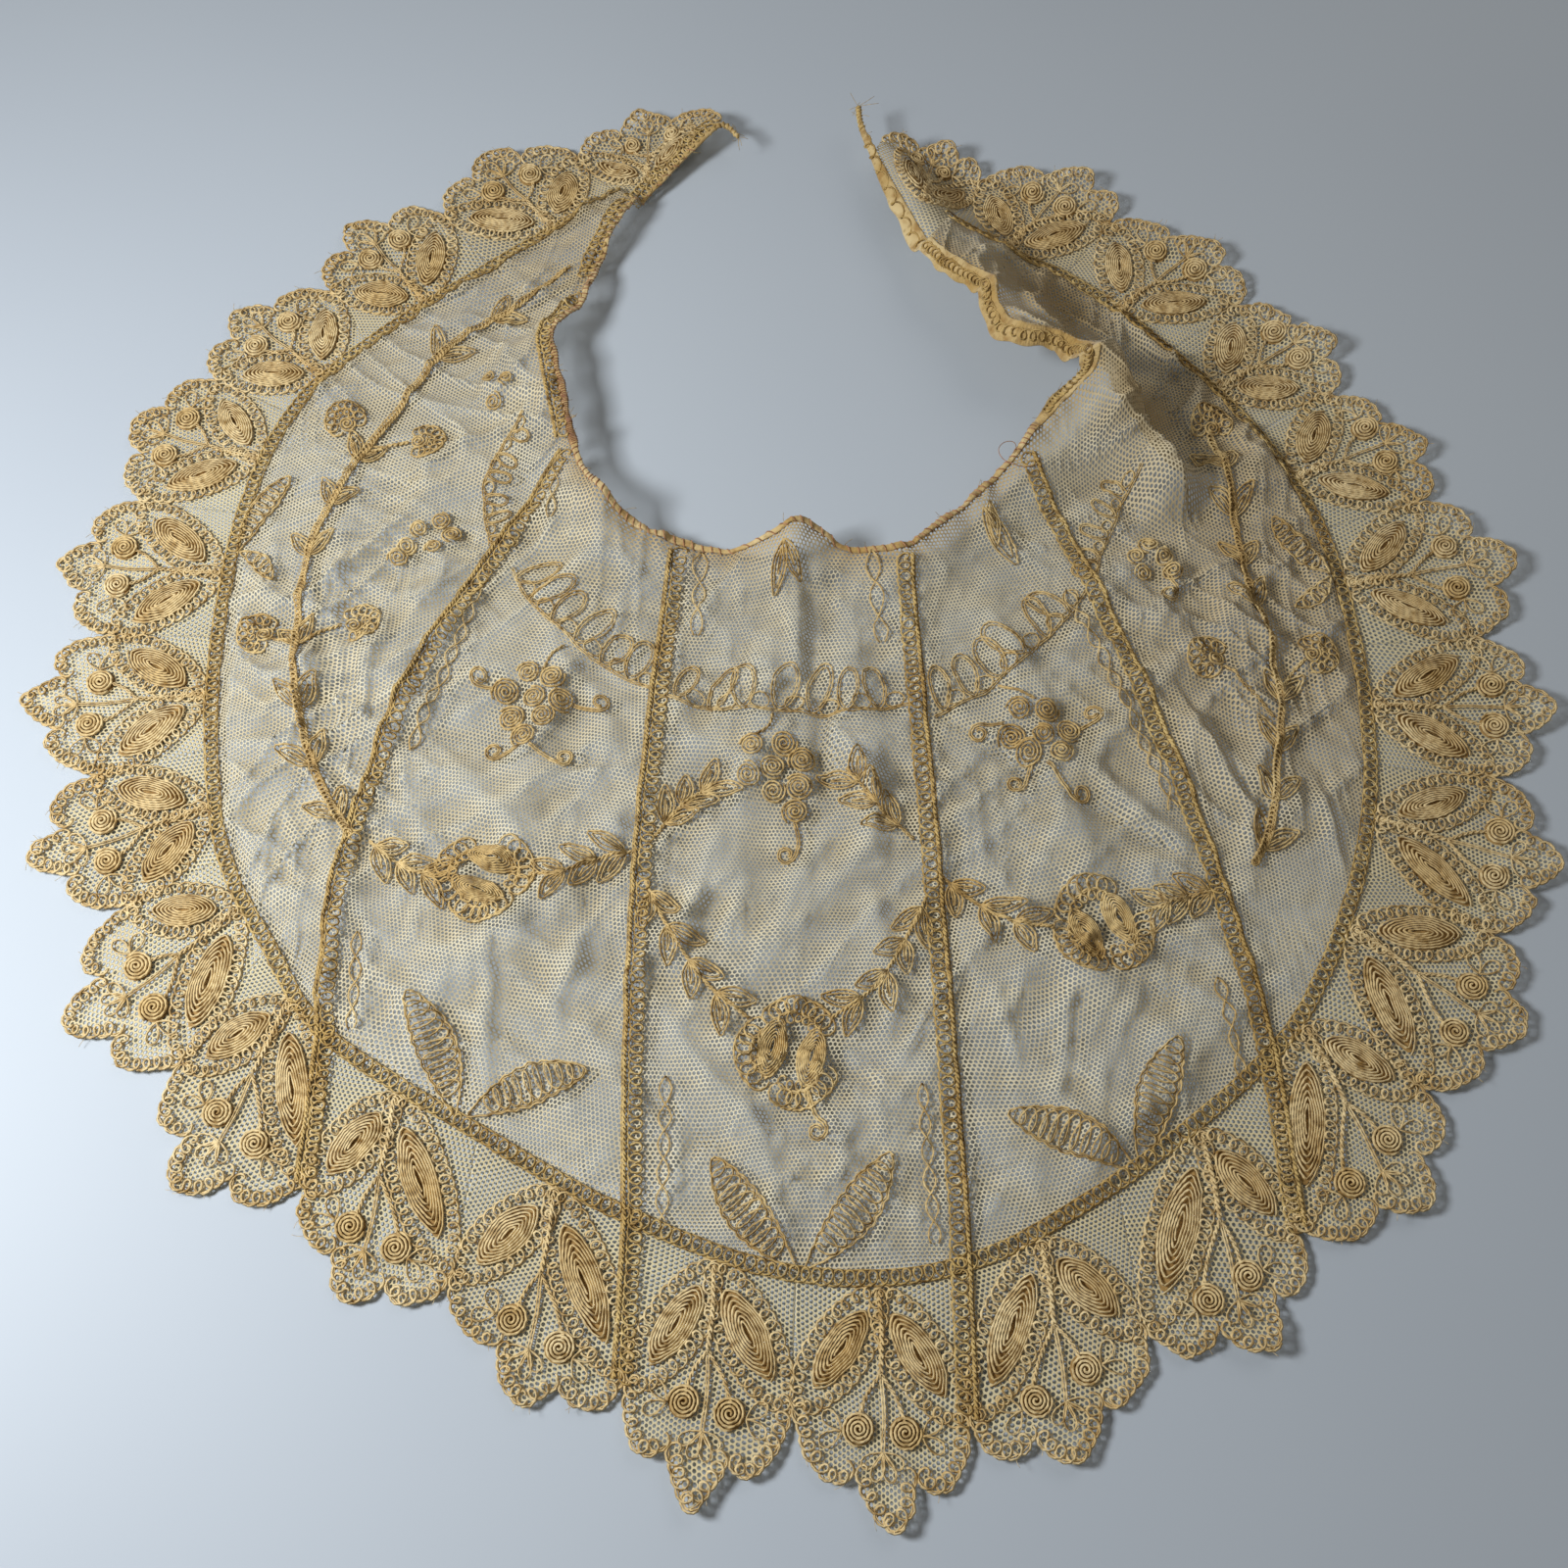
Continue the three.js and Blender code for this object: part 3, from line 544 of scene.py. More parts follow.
def cottonNet(look):
    # bobbin net of fine cotton, aged cream: matt, soft, and open in small round-cornered cells
    material, tree, surface = newMaterial(look["name"], {
        "Roughness": 0.92, "IOR": 1.5, "Specular IOR Level": 0.25, "Sheen Weight": 0.2,
        "Sheen Roughness": 0.6})
    weave = addNode(tree, "ShaderNodeUVMap", {"uv_map": "netGrain"})
    place = addNode(tree, "ShaderNodeTexCoord", output="Object")
    wide, tall = look["cell"], look["cell"] * math.sqrt(3)
    toHole = []
    for share in (0.0, 0.5):  # two lattices of holes, the second half a box over in both directions
        moved = addNode(tree, "ShaderNodeVectorMath",
                        {"operation": "ADD", 0: weave, 1: (wide * share, tall * share, 0)})
        wrapped = addNode(tree, "ShaderNodeVectorMath", {
            "operation": "WRAP", 0: moved, 1: (wide / 2, tall / 2, 0.5), 2: (-wide / 2, -tall / 2, -0.5)})
        toHole.append(addNode(tree, "ShaderNodeVectorMath", {"operation": "LENGTH", 0: wrapped}, "Value"))
    nearest = addNode(tree, "ShaderNodeMath", {"operation": "MINIMUM", 0: toHole[0], 1: toHole[1]})
    # cells pulled open in streaks across the cloth
    across = addNode(tree, "ShaderNodeMapping",
                     {"Vector": place, "Scale": (1.0, 3.2, 1.0), "Rotation": (0, 0, 0.7)})
    loose = patches(tree, across, netPatches["streak"])
    # the hollow attribute is 1 in the troughs of the cloth and 0 on its crests, where the cells open
    hollow = addNode(tree, "ShaderNodeAttribute", {"attribute_name": "hollow"}, "Fac")
    # the worn attribute is 1 where the net is dark gold with closer cells: worn and pressed by the neck, and
    # in the pleat a painted shade
    worn = addNode(tree, "ShaderNodeAttribute", {"attribute_name": "worn"}, "Fac")
    pull = addNode(tree, "ShaderNodeMath", {"operation": "MULTIPLY_ADD", 0: hollow, 1: -0.5, 2: loose})
    pull = addNode(tree, "ShaderNodeMath", {"operation": "MULTIPLY_ADD", 0: worn, 1: -1.3, 2: pull})
    size = addNode(tree, "ShaderNodeMapRange", {"Value": pull, "From Min": -0.4, "From Max": 0.6,
                                                "To Min": look["hole"][0], "To Max": look["hole"][1]})
    gap = addNode(tree, "ShaderNodeMath", {"operation": "SUBTRACT", 0: nearest, 1: size})
    thread = addNode(tree, "ShaderNodeMapRange", {"Value": gap, "From Min": -0.03, "From Max": 0.03})
    # fine cotton scatters light on through itself, so its shadow is far paler than the thread is close
    shadow = addNode(tree, "ShaderNodeLightPath", output="Is Shadow Ray")
    passing = addNode(tree, "ShaderNodeMapRange", {"Value": shadow, "To Min": 1.0, "To Max": look["shade"]})
    veil = addNode(tree, "ShaderNodeMath", {"operation": "MULTIPLY", 0: thread, 1: passing})
    tree.links.new(veil, surface.inputs["Alpha"])
    # the net goes golden towards the back
    back = addNode(tree, "ShaderNodeSeparateXYZ", {0: place}, "Y")
    wander = addNode(tree, "ShaderNodeMath", {
        "operation": "MULTIPLY_ADD", 0: patches(tree, place, netPatches["golden"]), 1: 0.06, 2: back})
    golden = addNode(tree, "ShaderNodeMapRange", {"Value": wander, "From Min": look["agedFrom"],
                                                  "From Max": look["agedTo"], "To Max": 0.6})
    # the dark gold also follows the worn attribute, which in the pleat's pocket and behind the standing edge
    # is painted shade
    most = addNode(tree, "ShaderNodeMath", {"operation": "MAXIMUM", 0: golden, 1: worn})
    # painted highlight: the net's colour is lightened towards the crest colour on the crests of the cloth
    crests = addNode(tree, "ShaderNodeMapRange",
                     {"Value": hollow, "From Min": 0.5, "From Max": 0.0, "To Max": 0.5})
    # painted shade: the net's colour is darkened towards the fold colour in the troughs of the cloth
    troughShade = addNode(tree, "ShaderNodeMapRange", {"Value": hollow, "From Min": 0.6, "To Max": 0.35})
    painted(tree, surface, look["pale"], [
        (patches(tree, place, netPatches["tan"]), look["tan"]),
        (patches(tree, place, netPatches["grey"]), look["grey"]),
        (crests, look["crest"]), (most, look["aged"]), (troughShade, look["fold"])])
    drawn = addNode(tree, "ShaderNodeMapping",
                    {"Vector": place, "Scale": (1.0, 2.2, 1.0), "Rotation": (0, 0, -0.5)})
    roughened(tree, surface, patches(tree, drawn, netPatches["drawn"]), 0.6, 0.0011)
    return material


# patches of light and dark along the cord, flecks where a ply turns under, and its fine fuzz
cordPatches = {"deep": (22, 3, 0.34, 0.68, 1.0), "dark": (2.4, 3, 0.46, 0.74, 1.0),
               "fuzz": (0.5, 2, 0.0, 1.0, 1.0)}


def cottonCord(name, pale, deep, dark):
    # two-ply mercerised cotton: dull gold with a slight lustre and a slanting twist
    material, tree, surface = newMaterial(name, {
        "Roughness": 0.7, "IOR": 1.5, "Specular IOR Level": 0.3, "Sheen Weight": 0.1, "Sheen Roughness": 0.5})
    place = addNode(tree, "ShaderNodeTexCoord", output="Object")
    along = addNode(tree, "ShaderNodeUVMap", {"uv_map": "threadLay"})
    painted(tree, surface, pale, [(patches(tree, place, cordPatches["deep"]), deep),
                                  (patches(tree, place, cordPatches["dark"]), dark)])
    # the ply's twist once in 1.3 mm; threadLay holds mm along and turns round
    twist = addNode(tree, "ShaderNodeTexWave", {
        "bands_direction": "DIAGONAL", "Vector": along, "Scale": 0.31, "Distortion": 0.6}, "Fac")
    fuzz = patches(tree, place, cordPatches["fuzz"])
    both = addNode(tree, "ShaderNodeMath", {"operation": "ADD", 0: twist, 1: fuzz})
    roughened(tree, surface, both, 0.6, 0.00015)
    return material


edgePatches = {"deep": (14, 3, 0.38, 0.66, 1.0), "worn": (4, 3, 0.5, 0.75, 1.0)}
edgeColours = {"pale": "#dcc490", "deep": "#bb9a5c", "worn": "#a07a42", "gap": "#8b6c3c"}


def foldedNet():
    # net rolled and sewn down at the neck, so it is close, golden and a little frayed
    material, tree, surface = newMaterial("rolled_net_edge", {
        "Roughness": 0.9, "IOR": 1.5, "Specular IOR Level": 0.25, "Sheen Weight": 0.3,
        "Sheen Roughness": 0.5})
    place = addNode(tree, "ShaderNodeTexCoord", output="Object")
    along = addNode(tree, "ShaderNodeUVMap", {"uv_map": "threadLay"})
    # two layers of 1.2 mm cells pressed together show as a fine chequer of dark gaps, 0.8 mm apart
    cells = addNode(tree, "ShaderNodeTexVoronoi", {"Vector": along, "Scale": 1 / 0.8, "Randomness": 0.5},
                    "Distance")
    gaps = addNode(tree, "ShaderNodeMapRange",
                   {"Value": cells, "From Min": 0.34, "From Max": 0.16, "To Max": 0.45})
    layers = [(patches(tree, place, edgePatches[name]), edgeColours[name]) for name in ("deep", "worn")]
    painted(tree, surface, edgeColours["pale"], [*layers, (gaps, edgeColours["gap"])])
    roughened(tree, surface, cells, 0.7, 0.0003)
    return material


netCloth = cottonNet(goreNet)
borderCloth = cottonNet(borderNet)
borderThread = cottonCord("ecru_border_thread", "#f0d9a6", "#dabb7f", "#9c783c")
seamThread = cottonCord("ecru_seam_cord", "#dbbf7e", "#b89552", "#775726")
fineThread = cottonCord("ecru_fine_thread", "#e6cc92", "#c6a464", "#856430")
# a darker thread for the cushions under wound leaves and rosettes: painted shade for the gaps between their
# rows
shadeBackingThread = cottonCord("shaded_backing_stitches", "#b7955c", "#9e7c45", "#7c5c2b")
roseThread = cottonCord("rose_stitching", "#c99a72", "#ad7553", "#85563a")
neckCloth = foldedNet()
print("materials made")


def addMesh(name, corners, faces, uv, uvName, materials, look=None):
    # corners in pattern mm; faces of four corners, or of three with -1 last; uv for each face's corners
    real = faces >= 0
    sides = real.sum(1)
    mesh = bpy.data.meshes.new(name)
    mesh.vertices.add(len(corners))
    mesh.vertices.foreach_set("co", ((corners + patternPlace) * mm).astype(np.float32).ravel())
    mesh.loops.add(int(sides.sum()))
    mesh.loops.foreach_set("vertex_index", faces[real].astype(np.int32))
    mesh.polygons.add(len(faces))
    mesh.polygons.foreach_set("loop_start", (np.cumsum(sides) - sides).astype(np.int32))
    mesh.update(calc_edges=True)
    mesh.polygons.foreach_set("use_smooth", np.ones(len(faces), bool))
    mesh.uv_layers.new(name=uvName).data.foreach_set("uv", uv[real].astype(np.float32).ravel())
    for material in materials:
        mesh.materials.append(material)
    if look is not None:
        mesh.polygons.foreach_set("material_index", look.astype(np.int32))
    mesh.validate()
    piece = bpy.data.objects.new(name, mesh)
    bpy.context.scene.collection.objects.link(piece)
    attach(piece, "root")
    return piece


def gridFaces(rows, columns):
    # the four corners of each cell of a grid, in turn
    index = np.arange(rows * columns).reshape(rows, columns)
    a, b, c, d = index[:-1, :-1], index[:-1, 1:], index[1:, 1:], index[1:, :-1]
    return np.stack([a, b, c, d], -1).reshape(-1, 4)


def cutArea(grid):
    # area of the grid's quads
    across = grid[:-1, 1:] - grid[1:, :-1]
    down = grid[1:, 1:] - grid[:-1, :-1]
    return np.linalg.norm(np.cross(across, down), axis=-1).sum() / 2


def flatCut(grid, along=(1, 0)):
    # width and length of the plan, let out by the share that slopes and wrinkles take up, and the area
    along = np.asarray(along, float)
    points = grid.reshape(-1, 3)[:, :2]
    spread = np.array([np.ptp(points @ along), np.ptp(points @ np.array([-along[1], along[0]]))])
    area = cutArea(grid)
    spread = spread * math.sqrt(area / cutArea(grid * np.array([1, 1, 0]))) * mm
    return tuple(spread), area * mm * mm


def hollows(grid, reach=4):
    # 0.5 + 0.5 (mean height nearby - own height), held between 0 and 1
    height = np.pad(grid[..., 2], reach, mode="edge")
    for axis in (0, 1):
        height = sum(np.roll(height, k, axis) for k in range(-reach, reach + 1)) / (2 * reach + 1)
    return np.clip(0.5 + 0.5 * (height[reach:-reach, reach:-reach] - grid[..., 2]), 0, 1)


# where the net goes dark gold: wear by the neck, and painted shade in the pleat's hollow and behind the
# standing edge
wearAndShade = {"neckReach": 7, "neckShare": 0.75, "spots": [((107, 88), 17, 0.9), ((84, 126), 26, 0.85)]}


def wearAndShadeShare(grid):
    # the most of share e^-(d/reach)^2 from the neck and from each spot, and a rise to the right
    point = grid[..., :2]
    byNeck = np.exp(-(np.linalg.norm(grid - grid[:1], axis=-1) / wearAndShade["neckReach"]) ** 2)
    most = np.maximum(wearAndShade["neckShare"] * byNeck,
                      0.5 * smooth((point[..., 0] - 60) / 80) * smooth((point[..., 1] + 80) / 90))
    for middle, reach, share in wearAndShade["spots"]:
        away = np.linalg.norm(point - np.array(middle), axis=-1)
        most = np.maximum(most, share * np.exp(-(away / reach) ** 2))
    return most


# more net lies in the pleat than its plan shows, so the cells there are drawn together
gather = {"middle": (104, 83), "across": (0.90, 0.43), "along": (0.43, -0.90),
          "most": 7, "wide": 12, "long": 32}


def gathered(point):
    # most tanh(d/wide) across the fold, times e^-(d/long)^2 along it
    across, along = np.array(gather["across"]), np.array(gather["along"])
    offset = point - np.array(gather["middle"])
    reach = gather["most"] * np.tanh(offset @ across / gather["wide"])
    reach = reach * np.exp(-(offset @ along / gather["long"]) ** 2)
    return reach[..., None] * across


def netSheet(name, grid, grainTurn, cloth, worn=0.0):
    # the grain follows the cut, and wanders a little where the net has been pulled
    rows, columns = grid.shape[:2]
    corners = grid.reshape(-1, 3)
    faces = gridFaces(rows, columns)
    first = corners[faces[0]]
    if np.cross(first[1] - first[0], first[2] - first[1])[2] < 0:
        faces = faces[:, ::-1]
    plan = corners[:, :2]
    grain = turned(plan + gathered(plan) + net["grainWander"] * softPair(plan, 30, 11, 12), -grainTurn)
    piece = addMesh(name, corners, faces, grain[faces], "netGrain", [cloth])
    for label, value in (("hollow", hollows(grid)), ("worn", worn + np.zeros((rows, columns)))):
        layer = piece.data.attributes.new(label, "FLOAT", "POINT")
        layer.data.foreach_set("value", value.astype(np.float32).ravel())
    wall = piece.modifiers.new("wall", "SOLIDIFY")
    wall.thickness = net["thickness"] * mm
    wall.offset = -1
    wall.use_even_offset = False
    return piece


def tube(path, radius, sides):
    # ring = path + radius (cos a side + sin a up), side square to the path in plan, ends capped
    path = np.asarray(path, float)
    run = np.gradient(path, axis=0)
    run = run / np.maximum(np.linalg.norm(run, axis=1, keepdims=True), 1e-9)
    side = np.stack([-run[:, 1], run[:, 0], np.zeros(len(run))], 1)
    side /= np.maximum(np.linalg.norm(side, axis=1, keepdims=True), 1e-6)
    up = np.cross(run, side)
    turn = (np.arange(sides) + 0.5) * 2 * math.pi / sides
    radius = np.broadcast_to(np.asarray(radius, float), (len(path),))[:, None, None]
    ring = (np.cos(turn)[None, :, None] * side[:, None] + np.sin(turn)[None, :, None] * up[:, None])
    corners = (path[:, None] + radius * ring).reshape(-1, 3)
    k = np.arange(len(path) - 1)[:, None] * sides
    s = np.arange(sides)[None]
    t = (s + 1) % sides
    faces = np.stack([k + s, k + t, k + sides + t, k + sides + s], -1).reshape(-1, 4)
    last = (len(path) - 1) * sides
    spare = [-1] * (4 - sides)
    caps = [[*range(sides - 1, -1, -1), *spare], [*range(last, last + sides), *spare]]
    faces = np.concatenate([faces, caps])
    step = np.linalg.norm(np.diff(path, axis=0), axis=1)
    travelled = np.concatenate([[0], np.cumsum(step)])
    low, high = travelled[:-1, None] + 0 * s, travelled[1:, None] + 0 * s
    near, far = s + 0 * k, s + 1 + 0 * k
    uv = np.stack([np.stack([low, near], -1), np.stack([low, far], -1),
                   np.stack([high, far], -1), np.stack([high, near], -1)], 2).reshape(-1, 4, 2)
    return corners, faces, np.concatenate([uv, np.zeros((2, 4, 2))])


def stitched(name, tubes, material, backing=()):
    # many tubes joined as one piece; backing cushions take the darker backing thread, a painted shade that
    # shows in the gaps between the rows
    tubes = [*tubes, *backing]
    count = np.cumsum([0] + [len(corners) for corners, _, _ in tubes])
    corners = np.concatenate([t[0] for t in tubes])
    faces = np.concatenate([np.where(t[1] < 0, -1, t[1] + start) for t, start in zip(tubes, count)])
    uv = np.concatenate([t[2] for t in tubes])
    if not len(backing):
        return addMesh(name, corners, faces, uv, "threadLay", [material])
    look = np.zeros(len(faces), int)
    look[-sum(len(t[1]) for t in backing):] = 1
    return addMesh(name, corners, faces, uv, "threadLay", [material, shadeBackingThread], look)


def raised(line, height, radius, sides=3):
    # a thread along a plan line, at heights of its own
    return tube(np.concatenate([line, height[:, None]], 1), radius, sides)


def lay(line, radius, above, sides=3):
    # a plan line laid on the net, its underside just in the mesh
    return raised(line, clothTop(line) + radius * 0.8 + 0.16 + above, radius, sides)


def sideways(line):
    # the run of a plan line at each point, and the direction to its left
    run = np.gradient(line, axis=0)
    run = run / np.maximum(np.linalg.norm(run, axis=1, keepdims=True), 1e-9)
    return run, np.stack([-run[:, 1], run[:, 0]], 1)


def beside(line, offset):
    # the line moved to its left by the offset
    return line + sideways(line)[1] * np.asarray(offset)[..., None]


def lineLength(line):
    return np.linalg.norm(np.diff(line, axis=0), axis=1).sum()


def looped(line, width, pitch, radius, perLoop=10, above=0.0, seed=0):
    # rings run on along a line like a row of e's: line + r (sin a side + cos a run), one turn a pitch
    turns = max(int(round(lineLength(line) / pitch)), 2)
    points = evenly(line, turns * perLoop + 1)
    run, side = sideways(points)
    angle = 2 * np.pi * np.arange(len(points)) / perLoop
    uneven = 0.84 + 0.32 * softNoise(points, 4.5, 200 + seed)
    angle = angle + 1.4 * softNoise(points, 6, 300 + seed)
    swing = (width / 2 * uneven)[:, None]
    place = points + swing * (np.sin(angle)[:, None] * side + 0.95 * np.cos(angle)[:, None] * run)
    pile = above + radius * (1.0 + 0.8 * np.sin(angle + 0.8))
    return raised(place, clothTop(place) + radius * 0.7 + pile, radius * 1.12)


def between(base, tip):
    # the base, the way from it to the tip, and a step of 1 mm to the left of that
    base, tip = np.asarray(base, float), np.asarray(tip, float)
    axis = tip - base
    return base, axis, np.array([-axis[1], axis[0]]) / np.linalg.norm(axis)


def teardrop(base, tip, width, count, pointed=1.0):
    # closed loop from base round the tip: along = L sin^2(a/2), side = w/2 sin a sin^p(a/2)
    base, axis, side = between(base, tip)
    angle = np.linspace(0.12, 2 * np.pi - 0.12, count)
    along = np.sin(angle / 2) ** 2
    across = 0.5 * width * np.sin(angle) * np.sin(angle / 2) ** pointed * 1.3
    return base + along[:, None] * axis + across[:, None] * side


def leafLine(base, tip, width, count, curve):
    # out along one side and back by the other: half width = w/2 sin(pi s^0.85)^0.9, pointed at the tip
    base, axis, side = between(base, tip)
    s = 1 - np.abs(np.linspace(-1, 1, count))
    sign = np.where(np.arange(count) < count / 2, 1, -1)
    across = sign * 0.5 * width * np.sin(np.pi * s ** 0.85) ** 0.9 + curve * np.sin(np.pi * s)
    return base + s[:, None] * axis + across[:, None] * side


def spiral(centre, radius, pitch, start=0.0, perTurn=13):
    # thread wound from the middle outwards, one pitch a turn
    turns = radius / pitch
    angle = np.linspace(0.3, turns, int(turns * perTurn)) * 2 * np.pi
    reach = pitch * angle / (2 * np.pi)
    return np.asarray(centre) + reach[:, None] * np.stack([np.cos(angle + start), np.sin(angle + start)], 1)


def cushion(place, height):
    # a padded grid laid on the net
    corners = netGrid(place, clothTop(place) + height).reshape(-1, 3)
    faces = gridFaces(*height.shape)[:, ::-1]
    return corners, faces, corners[faces][..., :2]


def disc(centre, radius):
    # a low dome under a wound rosette, as rings from a small middle one
    r, a = np.meshgrid(np.linspace(0.02, 1, 4) * radius, np.linspace(0, 2 * np.pi, 13), indexing="ij")
    place = np.asarray(centre) + r[..., None] * np.stack([np.cos(a), np.sin(a)], -1)
    return cushion(place, 0.1 + 0.5 * (1 - (r / radius) ** 2))


def rosette(centre, radius, seed, pitch, thread=0.4):
    # a wound spiral that rises to its middle: 0.15 + 0.75 (1 - (r/R)^2)
    line = spiral(centre, radius - 0.3, pitch, start=seed * 1.7)
    away = np.linalg.norm(line - np.asarray(centre), axis=1) / radius
    return [lay(line, thread, above=0.15 + 0.75 * (1 - away ** 2), sides=4)]


def spindle(root, tip, halfWidth, rows, radius=0.33, rise=0.6):
    # rows of thread wound round a pointed oval from its rim inwards: a run, b side |sin|^0.3 sin
    root, axis, side = between(root, tip)
    angle = np.linspace(0, rows * 2 * np.pi, rows * 22)
    shrink = 1 - angle / (rows * 2 * np.pi)
    reach = 0.5 * (0.2 + 0.8 * shrink)
    across = halfWidth * (0.07 + 0.93 * shrink) * np.abs(np.sin(angle)) ** 0.3 * np.sin(angle)
    line = root + axis / 2 + (reach * np.cos(angle))[:, None] * axis + across[:, None] * side
    wobble = 0.6 * (softPair(line, 3.2, 61, 62) - 0.5)
    return [lay(line + wobble, radius, above=0.2 + rise * (1 - shrink ** 2))]


def pad(root, tip, halfWidth, rise=0.4):
    # a low cushion of stitches under a wound leaf: w sin(pi s)^0.8 across, domed, as a grid
    root, axis, side = between(root, tip)
    s, c = np.meshgrid(np.linspace(0.02, 0.98, 11), np.linspace(-1, 1, 6), indexing="ij")
    width = halfWidth * np.sin(np.pi * s) ** 0.8
    place = root + s[..., None] * axis + (width * c)[..., None] * side
    return cushion(place, 0.08 + rise * np.sin(np.pi * s) * (1 - c ** 2))


def ovalRound(root, tip, halfWidth, count=60):
    # the line that the ring of loops follows round a wound leaf:
    # half the length times cos a along, w |sin a|^0.25 sin a across
    root, axis, side = between(root, tip)
    angle = np.linspace(0, 2 * np.pi, count) + np.pi
    across = halfWidth * np.abs(np.sin(angle)) ** 0.25 * np.sin(angle)
    return root + axis / 2 + np.cos(angle)[:, None] * axis / 2 + across[:, None] * side


def doubled(line, gap, radius, above):
    # two threads side by side
    return [lay(beside(line, gap / 2), radius, above), lay(beside(line, -gap / 2), radius, above)]


def twisted(line, radius=0.34, swing=0.42, pitch=3.2, above=0.2):
    # a stem of two threads wound round each other
    line = evenly(line, spacing=0.7)
    s = np.arange(len(line)) * 0.7
    tubes = []
    for phase in (0, np.pi):
        angle = 2 * np.pi * s / pitch + phase
        place = beside(line, swing * np.sin(angle))
        height = clothTop(place) + radius + above + swing * 0.7 * np.cos(angle)
        tubes.append(raised(place, height, radius * 1.1))
    return tubes


def swung(vector, angle):
    # a plan vector turned to the left, the angle in radians
    cos, sin = math.cos(angle), math.sin(angle)
    return np.array([vector[0] * cos - vector[1] * sin, vector[0] * sin + vector[1] * cos])


def looseHairs(places, outward, longest, radius=0.07):
    # fine fibres: start + t L (outward turned a little) + a sideways bow, ends lying or lifted
    tubes = []
    t = np.linspace(0, 1, 6)[:, None]
    for place in places:
        lean = swung(outward, seeds.normal(0, 0.7))
        bow = np.array([-lean[1], lean[0]]) * seeds.normal(0, 0.35)
        length = longest * seeds.uniform(0.3, 1)
        line = place[:2] + length * (t * lean + t * t * bow)
        height = clothTop(place[None, :2])[0] + 0.5 + seeds.uniform(-0.2, 0.35) * length * t[:, 0] ** 1.5
        tubes.append(raised(line, np.maximum(height, 0.2), radius))
    return tubes


borderWork = {"ring": 2.95, "pitch": 2.9, "thread": 0.3, "petal": 4.7, "petalRows": 7, "ringOut": 6.3,
              "rosette": 4.2, "sprig": 0.31, "hairs": 8, "hairLength": 3.0}


def scallopWork(i):
    # two wound petals ringed with loops, two rosettes on stems, hearts and a sprig, and a looped edge
    a, chord, out, place = scallopFrame(i)
    end = {0: (0.86, 0.3, 0.22, 0.94, 0.1, 0.75), lastNotch - 1: (0.2, 0.35, 0.06, 0.8, -0.1, 0.7)}
    root, rootIn, near, far, rosetteOut, size = end.get(i, (0.5, 0.1, 0.05, 0.95, 0.12, 1.0))
    start = innerEdge(i, np.array(root)) * (1 - rootIn) + (a + chord * 0.5) * rootIn
    jitter = seeds.uniform(-1, 1, 10)
    ring, pitch, thread, sprig = (borderWork[name] for name in ("ring", "pitch", "thread", "sprig"))
    tubes, backing = [], []
    for k, tip in enumerate((place(near, 0), place(far, 0))):
        tip = tip + jitter[2 * k:2 * k + 2] * 0.9
        begin, finish = start + (tip - start) * 0.16, start + (tip - start) * 0.83
        half = borderWork["petal"] * size * (1 + 0.08 * jitter[8 + k])
        backing.append(pad(begin, finish, half))
        tubes += spindle(begin, finish, half, borderWork["petalRows"] if size == 1 else 4)
        oval = ovalRound(start, tip, borderWork["ringOut"] * size)
        tubes.append(looped(oval, ring * size, pitch * size, thread, above=0.1, seed=i * 4 + k))
    aside = unit(chord)
    middle = place(0.5, rosetteOut + 0.2) + aside * 0.6 * jitter[9]
    fork = start + (middle - start) * 0.52
    tubes += twisted(smoothLine([start, (start + fork) / 2 + aside * 0.5, fork], 1.0), 0.36, 0.42, 3.2, 0.35)
    for k, along in enumerate((0.36, 0.64)):
        centre = place(along, rosetteOut) + jitter[4 + k] * 0.6 + out * 0.8 * jitter[6 + k]
        sign = 1 if k else -1
        backing.append(disc(centre, (borderWork["rosette"] - 0.4) * size))
        tubes += rosette(centre, borderWork["rosette"] * size, seed=i + k, pitch=0.92)
        bend = (fork + centre) / 2 - out * 1.2 + aside * 0.8 * sign
        tubes += twisted(smoothLine([fork, bend, centre - out * 2], 1.0), 0.3, 0.34, 3.0, 0.3)
        heart = centre + (aside * sign + out * 0.15) * (borderWork["rosette"] - 0.2) * size
        for turn in (-0.75, 0.55):
            lean = aside * sign * math.cos(turn) + out * math.sin(turn)
            tubes.append(lay(teardrop(heart, heart + lean * 6.0 * size, 3.4 * size, 13), sprig, above=0.3))
    tubes += doubled(smoothLine([fork, (fork + middle) / 2 + aside * 0.5, middle], 1.4), 0.6, 0.26, 0.25)
    for turn, length in ((-1.0, 6.0), (-0.3, 6.6), (0.35, 6.8), (1.0, 5.6)):
        lean = out * math.cos(turn) + aside * math.sin(turn)
        tubes.append(lay(teardrop(middle, middle + lean * length * size, 3.0 * size, 14), sprig, above=0.3))
    lobes, inward = lobedEdge(i, 1.0), 1 if edgeTurns(i) else -1
    hem = np.concatenate([beside(lobe, 0.2 * inward) for lobe in lobes])
    for lobe in lobes:
        row = beside(lobe, 1.45 * inward)
        tubes.append(looped(row, ring * 1.12, pitch, thread * 1.1, above=0.1, seed=i + 60))
        tubes.append(lay(evenly(beside(lobe, 0.3 * inward), spacing=1.5), 0.24, above=0.05))
    picked = seeds.integers(0, len(hem), borderWork["hairs"])
    tubes += looseHairs(hem[picked], out, borderWork["hairLength"])
    return tubes, backing


def edgeTurns(i):
    # True where the scallop's inside lies to the left of its edge
    _, chord, out, _ = scallopFrame(i)
    return out @ np.array([-chord[1], chord[0]]) < 0


